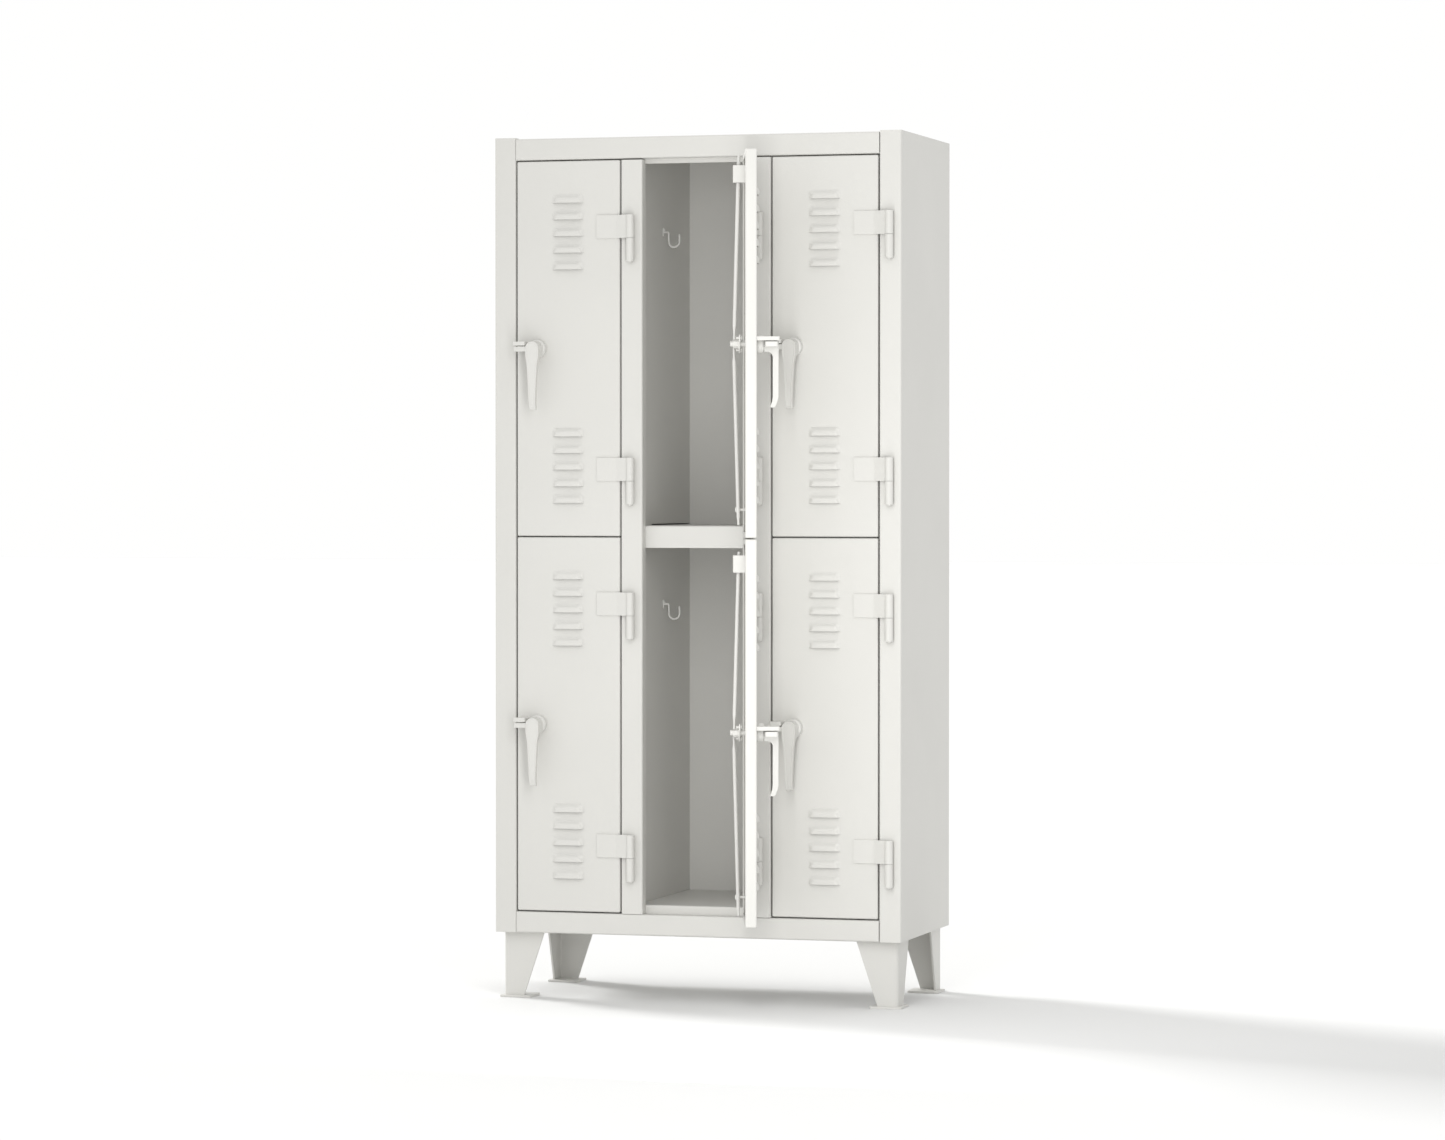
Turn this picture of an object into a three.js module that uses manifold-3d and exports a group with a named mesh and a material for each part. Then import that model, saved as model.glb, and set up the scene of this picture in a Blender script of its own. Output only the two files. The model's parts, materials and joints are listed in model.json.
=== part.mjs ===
// Double-tier, three-wide steel locker cabinet on four tapered legs.
// Millimetres, +Z up, front facing -Y. The origin is on the floor, under the middle of the
// whole cabinet with its middle doors standing open.
import * as THREE from 'three';
import { mergeVertices } from 'three/addons/utils/BufferGeometryUtils.js';
import Module from 'manifold-3d';

const wasm = await Module();
wasm.setup();

// Overall sizes
const bodyWidth = 965.2;
const bodyDepth = 457.2;
const bodyHeight = 1828.8;
const legHeight = 152.4;

// Sheet steel and joints between pieces
const sheet = 2.66;
const bendRadius = 4.5;
const seam = 0.3;
const bayCount = 3;

// Front frame
const postWidth = 50.8;
const railDrop = 2.6;
const headerHeight = 49.6;
const bottomRailHeight = 48.7;
const stopClearance = 1.6;
const stopDrop = 11;
const sillRise = 20;
const partitionClearance = 1.4;

// Tier shelf
const shelfFlange = 50.8;
const shelfFlangeAboveGap = 25.5;
const lapDepth = 150;
const slitHeight = 3;

// Doors
const doorGap = 3;
const doorDepth = 25.4;
const doorLip = 12;
const openAngle = 107.5;

// Louvres
const louvreCount = 5;
const louvrePitch = 38.1;
const louvreWidth = 76;
const louvreHeight = 20;
const louvreProud = 8;
const louvreMargin = 76;
const louvreSheet = 1.6;
const louvreCorner = 7;
const louvreFlank = 9;
const louvreLipShare = 0.45;

// Hinges
const barrelRadius = 9.5;
const barrelLength = 53;
const barrelGap = 1.5;
const pinRadius = 4.8;
const pinClearance = 0.4;
const leafThickness = 3.5;
const leafReach = 55;
const leafRamp = 27;
const hingeInset = 152.4;
const knuckleGap = 0.6;

// Handle and latch
const handleInset = 52;
const handleProud = 49;
const headRadius = 15.5;
const headChamfer = 4.5;
const leverLength = 141;
const leverThickness = 12.5;
const tipWidth = 14;
const bossRadius = 21;
const bossProud = 17;
const tabReach = 45;
const tabThickness = 9;
const tabGap = 2.5;
const padlockRadius = 5;
const spindleRadius = 6;
const spindleClearance = 0.6;
const camSetback = 36;
const hubRadius = 10;
const hubEnd = 58;
const crankOffset = 14;

// Latch rods
const rodRadius = 4;
const rodSideGap = 1.5;
const rodSetback = 49.5;
const rodTipSetback = 39;
const rodEndGap = 9;
const rodTaper = 12;
const tipClearance = 4;
const guideHeight = 38;
const guideWidth = 22;
const guideInset = 74;
const guideDepth = 52;
const guidePinInset = 62;
const guidePinRadius = 3;

// Coat hooks
const hookWire = 2.5;
const hookPlate = 20;
const hookSetback = 243;
const upperHookDrop = 156;
const lowerHookDrop = 182;
const hookReach = 13;
const hookNeck = 22;
const hookBend = 13;
const hookTip = 16.5;

// Legs
const legInset = 12.7;
const legSetback = 26;
const legThickness = 4.76;
const legTopWidth = 98;
const legFootWidth = 47;
const footSize = 75;
const footThickness = 5;
const footOverhang = 8.9;
const anchorInset = 31.5;
const anchorRadius = 7;

// Places worked out from the sizes above
const left = -bodyWidth / 2;
const bodyBottom = legHeight;
const bodyTop = legHeight + bodyHeight;
const skinTop = bodyTop - railDrop;
const openingTop = skinTop - headerHeight;
const openingBottom = bodyBottom + bottomRailHeight;
const bayPitch = (bodyWidth - postWidth) / bayCount;
const doorWidth = bayPitch - postWidth - 2 * doorGap;
const doorHeight = (openingTop - openingBottom - 3 * doorGap) / 2;
const hingeToDoor = postWidth / 2 + doorGap;
const lockX = -hingeToDoor - doorWidth + handleInset;
const lockZ = doorHeight / 2;
const lowerHinge = hingeInset - barrelLength / 2;
const upperHinge = doorHeight - hingeInset - barrelLength / 2;
const upperDoorBottom = openingTop - doorGap - doorHeight;
const lowerDoorBottom = openingBottom + doorGap;
const floorTop = openingBottom + sillRise;
const shelfTop = upperDoorBottom - doorGap / 2 + shelfFlangeAboveGap;
const postDepth = doorDepth;
const stopSetback = doorDepth + stopClearance;
const partitionSetback = stopSetback + sheet + partitionClearance;
const barrelStandoff = barrelRadius + barrelGap;
const barrelAxisY = -barrelStandoff;
const rodOffset = hubRadius + rodSideGap + rodRadius;
const inside = bodyWidth / 2 - sheet - seam;

const enamel = { color: 0xdcdcd6, roughness: 0.42, metalness: 0 };
const castEnamel = { color: 0xe2e2dc, roughness: 0.38, metalness: 0 };
const rodEnamel = { color: 0xd6d6d0, roughness: 0.45, metalness: 0 };

// --- Solids ---------------------------------------------------------------

function solid(geometry) {
  const bare = geometry.index ? geometry.toNonIndexed() : geometry.clone();
  bare.deleteAttribute('normal');
  bare.deleteAttribute('uv');
  const merged = mergeVertices(bare, 1e-4);
  return new wasm.Manifold(new wasm.Mesh({
    numProp: 3,
    vertProperties: Float32Array.from(merged.attributes.position.array),
    triVerts: Uint32Array.from(merged.index.array),
  }));
}

function join(...pieces) {
  return pieces.reduce((whole, piece) => whole.add(piece));
}

function geometryOf(manifold) {
  const mesh = manifold.getMesh();
  const geometry = new THREE.BufferGeometry();
  geometry.setAttribute('position', new THREE.BufferAttribute(mesh.vertProperties, 3));
  geometry.setIndex(new THREE.BufferAttribute(mesh.triVerts, 1));
  return geometry;
}

function box(x0, x1, y0, y1, z0, z1) {
  const geometry = new THREE.BoxGeometry(x1 - x0, y1 - y0, z1 - z0);
  return solid(geometry.translate((x0 + x1) / 2, (y0 + y1) / 2, (z0 + z1) / 2));
}

// A round bar between two points.
function bar(start, end, radius, sides = 12) {
  const from = new THREE.Vector3(...start);
  const along = new THREE.Vector3(...end).sub(from);
  const geometry = new THREE.CylinderGeometry(radius, radius, along.length(), sides);
  geometry.translate(0, along.length() / 2, 0);
  const turn = new THREE.Quaternion().setFromUnitVectors(
    new THREE.Vector3(0, 1, 0), along.clone().normalize());
  return solid(geometry.applyQuaternion(turn).translate(from.x, from.y, from.z));
}

// A flat outline pushed along one axis. Outlines are [x, y] along z, [y, z] along x
// and [z, x] along y.
function prism(outline, axis, from, to) {
  const shape = new THREE.Shape(outline.map(([a, b]) => new THREE.Vector2(a, b)));
  const geometry = new THREE.ExtrudeGeometry(shape, { depth: to - from, bevelEnabled: false });
  geometry.translate(0, 0, from);
  const turn = new THREE.Matrix4();
  if (axis === 'x') turn.set(0, 0, 1, 0, 1, 0, 0, 0, 0, 1, 0, 0, 0, 0, 0, 1);
  if (axis === 'y') turn.set(0, 1, 0, 0, 0, 0, 1, 0, 1, 0, 0, 0, 0, 0, 0, 1);
  return solid(geometry.applyMatrix4(turn));
}

// The outline of a folded sheet. The corners follow its outer face, with the metal on the
// left of the way they run, and each fold is an arc.
function foldedSheet(corners, thickness = sheet, outerRadius = bendRadius, steps = 3) {
  const points = corners.map(([a, b]) => new THREE.Vector2(a, b));
  const outer = [];
  const inner = [];
  const put = (point, normal) => {
    outer.push([point.x, point.y]);
    inner.push([point.x + normal.x * thickness, point.y + normal.y * thickness]);
  };
  const leftOf = (direction) => new THREE.Vector2(-direction.y, direction.x);
  points.forEach((point, i) => {
    const before = i > 0 ? point.clone().sub(points[i - 1]).normalize() : null;
    const after = i < points.length - 1 ? points[i + 1].clone().sub(point).normalize() : null;
    if (!before || !after) {
      put(point, leftOf(before || after));
      return;
    }
    const turn = Math.atan2(before.cross(after), before.dot(after));
    const radius = turn > 0 ? outerRadius : outerRadius - thickness;
    const start = point.clone().addScaledVector(before, -radius * Math.tan(Math.abs(turn) / 2));
    const side = Math.sign(turn);
    const centre = start.clone().addScaledVector(leftOf(before), side * radius);
    for (let k = 0; k <= steps; k += 1) {
      const normal = leftOf(before).rotateAround(new THREE.Vector2(), turn * k / steps);
      put(centre.clone().addScaledVector(normal, -side * radius), normal);
    }
  });
  return outer.concat(inner.reverse());
}

const cabinet = new THREE.Group();
cabinet.name = 'locker_cabinet';

function addPiece(parent, name, manifold, finish = enamel) {
  const mesh = new THREE.Mesh(geometryOf(manifold), new THREE.MeshStandardMaterial(finish));
  mesh.name = name;
  parent.add(mesh);
}

// --- Casing ---------------------------------------------------------------

// A side sheet, folded round at the front into the corner post.
function sidePanel(side) {
  const edge = side * bodyWidth / 2;
  const postEdge = edge - side * postWidth;
  const corners = [[edge, bodyDepth], [edge, 0], [postEdge, 0], [postEdge, postDepth]];
  if (side > 0) corners.reverse();
  return prism(foldedSheet(corners), 'z', bodyBottom, bodyTop);
}

function dividerPost(x) {
  const half = postWidth / 2;
  const corners = [[x - half, postDepth], [x - half, 0], [x + half, 0], [x + half, postDepth]];
  return prism(foldedSheet(corners), 'z', openingBottom + seam, openingTop - doorGap);
}

// A flat sheet behind the posts, reaching forward inside each corner post.
function deck(top) {
  const behindPosts = postDepth + seam;
  const slotInner = inside + sheet + seam - postWidth + sheet + seam;
  const bay = bodyWidth / 2 - postWidth - seam;
  const front = sheet + bendRadius;
  const rear = bodyDepth - sheet - seam;
  return join(
    box(-inside, inside, behindPosts, rear, top - sheet, top),
    box(slotInner, inside - bendRadius, front, behindPosts + sheet, top - sheet, top),
    box(-inside + bendRadius, -slotInner, front, behindPosts + sheet, top - sheet, top),
    box(-bay, bay, stopSetback + sheet, rear, top - sheet, top),
  );
}

// Roof sheet, header rail and the stop strip behind the door tops, folded from one sheet.
function topPanel() {
  const bay = bodyWidth / 2 - postWidth - 2 * seam;
  const section = foldedSheet([
    [bodyDepth / 2, skinTop], [0, skinTop], [0, openingTop],
    [stopSetback, openingTop], [stopSetback, openingTop - stopDrop],
  ]);
  return join(prism(section, 'x', -bay, bay), deck(skinTop));
}

// Bottom sheet and bottom rail, folded from one sheet.
function basePan() {
  const bay = bodyWidth / 2 - postWidth - 2 * seam;
  const section = foldedSheet([
    [stopSetback - seam, openingBottom], [0, openingBottom], [0, bodyBottom],
    [bodyDepth / 2, bodyBottom],
  ]);
  return join(prism(section, 'x', -bay, bay), deck(bodyBottom + sheet));
}

// Compartment floor with the sill strip that the doors close against.
function floorPanel() {
  const section = foldedSheet([
    [bodyDepth / 2, floorTop], [stopSetback, floorTop], [stopSetback, openingBottom - sheet],
  ]);
  const rear = bodyDepth - sheet - seam;
  return join(
    prism(section, 'x', -inside, inside),
    box(-inside, inside, bodyDepth / 2 - 1, rear, floorTop - sheet, floorTop),
    box(-inside, inside, rear - sheet, rear, bodyBottom + sheet + seam, floorTop),
  );
}

function tierShelf(partitions) {
  const section = foldedSheet([
    [bodyDepth / 2, shelfTop], [stopSetback, shelfTop], [stopSetback, shelfTop - shelfFlange],
  ]);
  const rear = bodyDepth - sheet - seam;
  const shelf = join(
    prism(section, 'x', -inside, inside),
    box(-inside, inside, bodyDepth / 2 - 1, rear, shelfTop - sheet, shelfTop),
  );
  return partitions.reduce((rest, x) => rest.subtract(box(
    x - sheet / 2 - seam, x + sheet / 2 + seam, partitionSetback - seam, lapDepth + seam,
    shelfTop - 2 * sheet, shelfTop + sheet)), shelf);
}

// Upright sheet between two columns, with a front flange and a slot that laps the shelf.
function partition(x) {
  const flange = postWidth / 2 - 2 * sheet;
  const rear = bodyDepth - sheet - seam;
  const corners = [
    [x - sheet / 2, rear], [x - sheet / 2, partitionSetback], [x + flange, partitionSetback],
  ];
  const panel = prism(foldedSheet(corners), 'z', floorTop + seam, skinTop - sheet - seam);
  const slot = box(x - sheet, x + sheet, lapDepth, bodyDepth,
    shelfTop - sheet - seam, shelfTop + slitHeight);
  const flangeNotch = box(x + sheet / 2, x + postWidth, 0, lapDepth,
    shelfTop - sheet - seam, shelfTop + seam);
  return panel.subtract(slot).subtract(flangeNotch);
}

function backPanel() {
  return box(-inside, inside, bodyDepth - sheet, bodyDepth, bodyBottom, skinTop);
}

// A tapered angle on a square foot, standing on the floor at one corner of the base.
function leg(side, front) {
  const x = side * (bodyWidth / 2 - legInset);
  const y = front ? legSetback : bodyDepth - legSetback;
  const inY = front ? 1 : -1;
  const top = bodyBottom - seam;
  const across = [
    [0, x], [top, x], [top, x - side * legTopWidth], [0, x - side * legFootWidth],
  ];
  const along = [
    [y, 0], [y, top], [y + inY * legTopWidth, top], [y + inY * legFootWidth, 0],
  ];
  const faceY = [y, y + inY * legThickness].sort((a, b) => a - b);
  const faceX = [x, x - side * legThickness].sort((a, b) => a - b);
  const footX = [x + side * footOverhang, x + side * (footOverhang - footSize)]
    .sort((a, b) => a - b);
  const footY = [y - inY * footOverhang, y + inY * (footSize - footOverhang)]
    .sort((a, b) => a - b);
  const anchor = [x - side * anchorInset, y + inY * anchorInset];
  const foot = box(...footX, ...footY, 0, footThickness).subtract(
    bar([...anchor, -1], [...anchor, footThickness + 1], anchorRadius));
  return join(prism(across, 'y', ...faceY), prism(along, 'x', ...faceX), foot);
}

// --- Hinges ---------------------------------------------------------------

// The fixed half of a hinge: a barrel welded to the post with the pin standing in it.
function hingePin() {
  const top = -knuckleGap / 2;
  return join(
    bar([0, 0, top - barrelLength], [0, 0, top], barrelRadius),
    bar([0, 0, top - 5], [0, 0, barrelLength - 4], pinRadius, 12),
    bar([0, 0, top - barrelLength - 3], [0, 0, top - barrelLength + 1], barrelRadius * 0.6, 12),
    box(-4, 4, barrelRadius - 3, barrelStandoff - seam, top - barrelLength + 4, top - 4),
  );
}

// The door half of a hinge: a plate on the door that ramps out to the knuckle.
function hingeLeaf(z) {
  const bottom = z + knuckleGap / 2;
  const face = barrelStandoff;
  const flatEnd = -hingeToDoor - leafReach;
  const rampStart = -(barrelRadius + leafRamp);
  const outline = [
    [flatEnd, face + 1], [flatEnd, face - leafThickness],
    [rampStart, face - leafThickness], [-barrelRadius + 2, -leafThickness / 2],
    [-barrelRadius + 2, leafThickness / 2], [rampStart, face + 1],
  ];
  const plate = prism(outline, 'z', bottom, bottom + barrelLength);
  const knuckle = bar([0, 0, bottom], [0, 0, bottom + barrelLength], barrelRadius);
  const bore = bar([0, 0, bottom - 1], [0, 0, bottom + barrelLength - 3],
    pinRadius + pinClearance, 12);
  return plate.add(knuckle).subtract(bore);
}

// --- Doors (built closed, round the hinge axis, standing on z = 0) ---------

// A pressed bonnet, open along its lower edge.
function louvre(x, z, grow) {
  const wall = grow ? 0 : louvreSheet;
  const half = louvreWidth / 2 - louvreCorner - wall;
  const proud = barrelStandoff - louvreProud + wall;
  const foot = grow ? barrelStandoff + 0.5 : barrelStandoff + sheet + 1;
  const top = z + louvreHeight - 1.5 * wall;
  const bottom = grow ? z : z - 1;
  const acrossFace = prism([
    [x - half - louvreFlank, foot], [x - half, proud],
    [x + half, proud], [x + half + louvreFlank, foot],
  ], 'z', bottom, top);
  const upFace = prism([
    [foot, bottom], [proud, bottom], [proud, bottom + louvreHeight * louvreLipShare],
    [foot, top],
  ], 'x', x - 2 * half, x + 2 * half);
  return acrossFace.intersect(upFace);
}

function louvrePlaces() {
  const lowest = louvreMargin;
  const highest = doorHeight - louvreMargin - louvreHeight;
  const places = [];
  for (let k = 0; k < louvreCount; k += 1) {
    places.push(lowest + k * louvrePitch, highest - k * louvrePitch);
  }
  return places;
}

function doorPan() {
  const near = -hingeToDoor;
  const far = near - doorWidth;
  const front = barrelStandoff;
  const back = front + doorDepth;
  const pan = join(
    prism(foldedSheet([
      [far + doorLip, back], [far, back], [far, front], [near, front], [near, back],
      [near - doorLip, back],
    ]), 'z', 0, doorHeight),
    box(far + bendRadius, near - bendRadius, front + 1, back, 0, sheet),
    box(far + bendRadius, near - bendRadius, front + 1, back, doorHeight - sheet, doorHeight),
  );
  const middle = (near + far) / 2;
  const bonnets = louvrePlaces().map((z) => louvre(middle, z, true));
  const vents = louvrePlaces().map((z) => louvre(middle, z, false));
  return vents.reduce((rest, vent) => rest.subtract(vent), join(pan, ...bonnets));
}

// Cast plate round the spindle, with the fixed padlock tab.
function escutcheon(x, z) {
  const front = barrelStandoff;
  const tabTop = z + headRadius;
  const tabFoot = tabTop - tabThickness;
  const tabEnd = x - headRadius - 1.5;
  const face = front - bossProud;
  const outer = front - handleProud - 2;
  const hole = [x - tabReach + 2 * padlockRadius, outer + 2.6 * padlockRadius];
  return join(
    bar([x, front + 1, z], [x, face, z], bossRadius, 16),
    box(x - tabReach, x, face, front + 1, tabFoot, tabTop),
    box(x - tabReach, tabEnd, outer, face + 1, tabFoot, tabTop),
  ).subtract(bar([...hole, z], [...hole, tabTop + 1], padlockRadius, 12));
}

// Hat bracket that keeps the upper rod against the door.
function rodGuide(x, z) {
  const skin = barrelStandoff + sheet;
  const end = barrelStandoff + guideDepth;
  const half = guideWidth / 2;
  const bracket = box(x - half, x + half, skin - 1, end, z, z + guideHeight);
  return bracket.subtract(box(
    x - half + sheet, x + half - sheet, skin, end - sheet, z - 1, z + guideHeight + 1));
}

// Bolt beside the lower rod.
function guidePin(x, z) {
  const skin = barrelStandoff + sheet - 1;
  const end = barrelStandoff + guideDepth - 8;
  return join(
    bar([x, skin, z], [x, end, z], guidePinRadius, 8),
    bar([x, end - 1, z], [x, end + 3, z], guidePinRadius * 1.9, 8),
  );
}

function door() {
  const bore = spindleRadius + spindleClearance;
  const boreEnd = barrelStandoff + sheet + 2;
  return join(
    doorPan(),
    escutcheon(lockX, lockZ),
    hingeLeaf(lowerHinge),
    hingeLeaf(upperHinge),
    rodGuide(lockX - rodOffset, doorHeight - guideInset),
    guidePin(lockX + rodOffset + rodRadius + 2 * guidePinRadius, guidePinInset),
  ).subtract(bar([lockX, -handleProud, lockZ], [lockX, boreEnd, lockZ], bore));
}

// --- Latch (built round the handle axis, the door's face at y = 0) ---------

// Cast lever with its padlock tab, spindle, crank plate and nut.
function handle() {
  const inner = -handleProud + leverThickness;
  const root = -bossProud - 1;
  const tip = -leverLength;
  const headSteps = 10;
  const outline = [];
  for (let k = 0; k <= headSteps; k += 1) {
    const angle = Math.PI * k / headSteps;
    outline.push([headRadius * Math.sin(angle), headRadius * Math.cos(angle)]);
  }
  outline.push([-40, -headRadius * 0.72], [tip, -tipWidth / 2], [tip, tipWidth / 2]);
  outline.push([-40, headRadius * 0.72]);
  const profile = [
    [root, headRadius], [-handleProud + headChamfer, headRadius],
    [-handleProud, headRadius - headChamfer], [-handleProud, tip + 22],
    [-handleProud + 7, tip + 8], [inner + 7, tip], [inner + 7, tip + 6],
    [inner + 1, tip + 16], [inner, tip + 24], [inner, -38], [inner + 6, -24], [root, -18],
  ];
  const lever = prism(outline, 'y', -handleProud, root)
    .intersect(prism(profile, 'x', -headRadius, headRadius));
  const tabTop = headRadius - tabThickness - tabGap;
  const hole = [-tabReach + 2 * padlockRadius, -handleProud - 2 + 2.6 * padlockRadius];
  const tab = box(-tabReach, 0, -handleProud + 2, root, tabTop - tabThickness - 2, tabTop)
    .subtract(bar([...hole, -headRadius], [...hole, headRadius], padlockRadius, 12));
  const crank = crankPlate();
  const spindle = bar([0, root - 1, 0], [0, hubEnd - 1, 0], spindleRadius);
  const nut = bar([0, camSetback + 4, 0], [0, hubEnd, 0], hubRadius, 6);
  return join(lever, tab, spindle, crank, nut);
}

// Plate on the spindle's end, with one stud for each rod.
function crankPlate() {
  const studEnd = rodSetback - rodRadius - seam;
  const outline = [
    [26, -20], [26, -6], [6, 12], [-6, 20], [-26, 20], [-26, 6], [-6, -12], [6, -20],
  ];
  return join(
    prism(outline, 'y', camSetback, camSetback + 3),
    bar([-crankOffset, camSetback + 1, crankOffset - 1],
      [-crankOffset, studEnd, crankOffset - 1], 3, 8),
    bar([crankOffset, camSetback + 1, 1 - crankOffset],
      [crankOffset, studEnd, 1 - crankOffset], 3, 8),
  );
}

// A latch rod, leaning towards the door at its far end. The tip is a smaller round.
function latchRod(x, end, tip) {
  const along = new THREE.Vector3(x, rodSetback, end);
  const far = new THREE.Vector3(x, rodTipSetback, tip);
  const length = along.distanceTo(far);
  const at = (distance) => along.clone().lerp(far, distance / length).toArray();
  return join(
    bar(at(0), at(length - rodTaper), rodRadius, 10),
    bar(at(length - rodTaper - 1), at(length), rodRadius * 0.7, 10),
  );
}

// --- Coat hook (built round its place on the wall, the wall at x = 0) ------

function coatHook() {
  const far = hookReach + 2 * hookBend;
  const corner = 5;
  const at = (x, z) => new THREE.Vector3(x, 0, z);
  const arc = [];
  for (let k = 0; k <= 12; k += 1) {
    const angle = Math.PI * (1 + k / 12);
    arc.push(at(hookReach + hookBend + hookBend * Math.cos(angle),
      hookBend * Math.sin(angle) - hookNeck));
  }
  const points = [at(sheet / 2, 0), at(hookReach - corner, 0), at(hookReach - 1, -1.5),
    at(hookReach, -corner), ...arc, at(far, hookTip - hookNeck)];
  const ring = new THREE.Shape();
  ring.absarc(0, 0, hookWire, 0, 2 * Math.PI);
  const smooth = new THREE.CatmullRomCurve3(points, false, 'chordal');
  const wire = new THREE.ExtrudeGeometry(ring, {
    steps: 16, extrudePath: smooth, curveSegments: 3, bevelEnabled: false,
  });
  const half = hookPlate / 2;
  const screw = bar([sheet - 1, 0, half - 5], [sheet + 2.2, 0, half - 5], 3.5, 8);
  return join(
    box(seam, sheet, -half * 0.7, half * 0.7, -half, half),
    solid(wire),
    screw,
  );
}

// --- Assembly -------------------------------------------------------------

const dividers = [];
for (let k = 1; k < bayCount; k += 1) dividers.push(left + postWidth / 2 + k * bayPitch);

addPiece(cabinet, 'left_side_panel', sidePanel(-1));
addPiece(cabinet, 'right_side_panel', sidePanel(1));
addPiece(cabinet, 'back_panel', backPanel());
addPiece(cabinet, 'top_panel', topPanel());
addPiece(cabinet, 'base_pan', basePan());
addPiece(cabinet, 'floor_panel', floorPanel());
addPiece(cabinet, 'tier_shelf', tierShelf(dividers));
dividers.forEach((x, k) => {
  const side = k === 0 ? 'left' : 'right';
  addPiece(cabinet, `${side}_partition`, partition(x));
  addPiece(cabinet, `${side}_divider_post`, dividerPost(x));
});
for (const [side, sign] of [['left', -1], ['right', 1]]) {
  addPiece(cabinet, `front_${side}_leg`, leg(sign, true));
  addPiece(cabinet, `rear_${side}_leg`, leg(sign, false));
}

// The rods stop short of what the door closes against, above and below.
function addLatch(swing, name, coverAbove, coverBelow) {
  const latch = new THREE.Group();
  latch.position.set(lockX, barrelStandoff, lockZ);
  swing.add(latch);
  addPiece(latch, `${name}_handle`, handle(), castEnamel);
  addPiece(latch, `${name}_upper_rod`,
    latchRod(-rodOffset, rodEndGap, lockZ - coverAbove - tipClearance), rodEnamel);
  addPiece(latch, `${name}_lower_rod`,
    latchRod(rodOffset, -rodEndGap, coverBelow + tipClearance - lockZ), rodEnamel);
}

function addCompartment(name, bay, tier, open) {
  const { doorBottom, hookHeight, coverAbove, coverBelow } = tier;
  const axisX = left + postWidth / 2 + (bay + 1) * bayPitch;
  for (const [place, z] of [['upper', upperHinge], ['lower', lowerHinge]]) {
    const fixed = new THREE.Group();
    fixed.position.set(axisX, barrelAxisY, doorBottom + z);
    cabinet.add(fixed);
    addPiece(fixed, `${name}_${place}_hinge_pin`, hingePin());
  }
  const swing = new THREE.Group();
  swing.position.set(axisX, barrelAxisY, doorBottom);
  swing.rotation.z = open ? openAngle * Math.PI / 180 : 0;
  cabinet.add(swing);
  addPiece(swing, `${name}_door`, door());
  addLatch(swing, name, coverAbove, coverBelow);
  const wall = bay === 0 ? left + sheet : axisX - bayPitch + sheet / 2;
  const hook = new THREE.Group();
  hook.position.set(wall, hookSetback, hookHeight);
  cabinet.add(hook);
  addPiece(hook, `${name}_coat_hook`, coatHook(), castEnamel);
}

const tiers = {
  upper: {
    doorBottom: upperDoorBottom,
    hookHeight: openingTop - upperHookDrop,
    coverAbove: stopDrop - doorGap,
    coverBelow: shelfTop - upperDoorBottom,
  },
  lower: {
    doorBottom: lowerDoorBottom,
    hookHeight: shelfTop - sheet - lowerHookDrop,
    coverAbove: lowerDoorBottom + doorHeight - (shelfTop - shelfFlange),
    coverBelow: floorTop - lowerDoorBottom,
  },
};
const columns = ['left', 'middle', 'right'];
columns.forEach((column, bay) => {
  const open = column === 'middle';
  for (const [tier, places] of Object.entries(tiers)) {
    addCompartment(`${tier}_${column}`, bay, places, open);
  }
});

// The doors that stand open reach furthest forward, so the middle of the whole is found last.
const extent = new THREE.Box3().setFromObject(cabinet, true);
for (const child of cabinet.children) child.position.y -= (extent.min.y + extent.max.y) / 2;
cabinet.updateMatrixWorld(true);

export default cabinet;
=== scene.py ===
import json
import math

import bmesh
import bpy
from mathutils import Matrix, Vector


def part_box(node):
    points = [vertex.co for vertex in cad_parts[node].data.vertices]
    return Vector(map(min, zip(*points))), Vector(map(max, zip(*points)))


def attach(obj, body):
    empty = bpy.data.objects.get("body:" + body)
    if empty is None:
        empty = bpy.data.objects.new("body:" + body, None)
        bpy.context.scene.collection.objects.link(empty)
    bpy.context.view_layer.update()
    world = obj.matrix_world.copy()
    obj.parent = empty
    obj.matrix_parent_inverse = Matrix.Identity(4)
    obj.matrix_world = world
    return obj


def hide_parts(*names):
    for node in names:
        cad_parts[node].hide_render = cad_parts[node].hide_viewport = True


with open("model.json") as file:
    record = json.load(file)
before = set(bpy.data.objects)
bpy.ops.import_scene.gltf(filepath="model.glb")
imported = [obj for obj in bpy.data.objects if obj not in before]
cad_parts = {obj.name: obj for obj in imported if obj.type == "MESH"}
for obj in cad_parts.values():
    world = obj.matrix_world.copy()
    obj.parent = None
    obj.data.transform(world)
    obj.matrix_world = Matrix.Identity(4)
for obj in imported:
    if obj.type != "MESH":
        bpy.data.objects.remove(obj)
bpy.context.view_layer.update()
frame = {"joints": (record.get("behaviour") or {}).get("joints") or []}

# --- Studio ----------------------------------------------------------------
# A white room: plain floor, white surroundings, a lamp behind on the left that throws the
# long shadow to the right, a tall soft panel near the right-hand doors, and a long lens.
CAMERA_OUT = 10.36706
CAMERA_ACROSS = 3.11805
CAMERA_UP = 1.18256
CAMERA_YAW = math.radians(16.414)
CAMERA_DIP = math.radians(1.019)
FOCAL_LENGTH = 118.47
SENSOR_WIDTH = 36.0
CLIP_END = 200.0
FLOOR_SIZE = 120.0
SURROUND = (1.0, 1.0, 0.995, 1.0)
SURROUND_STRENGTH = 1.0
SUN_FROM = Vector((-0.9, 0.44, 0.55))
SUN_STRENGTH = 2.5
SUN_WIDTH = math.radians(16)
PANEL_PLACE = Vector((0.45, -1.45, 0.95))
PANEL_WIDTH = 0.3
PANEL_HEIGHT = 2.4
PANEL_POWER = 14.0

case_low = Vector(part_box("left_side_panel")[0])
case_high = Vector(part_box("right_side_panel")[1])

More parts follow.
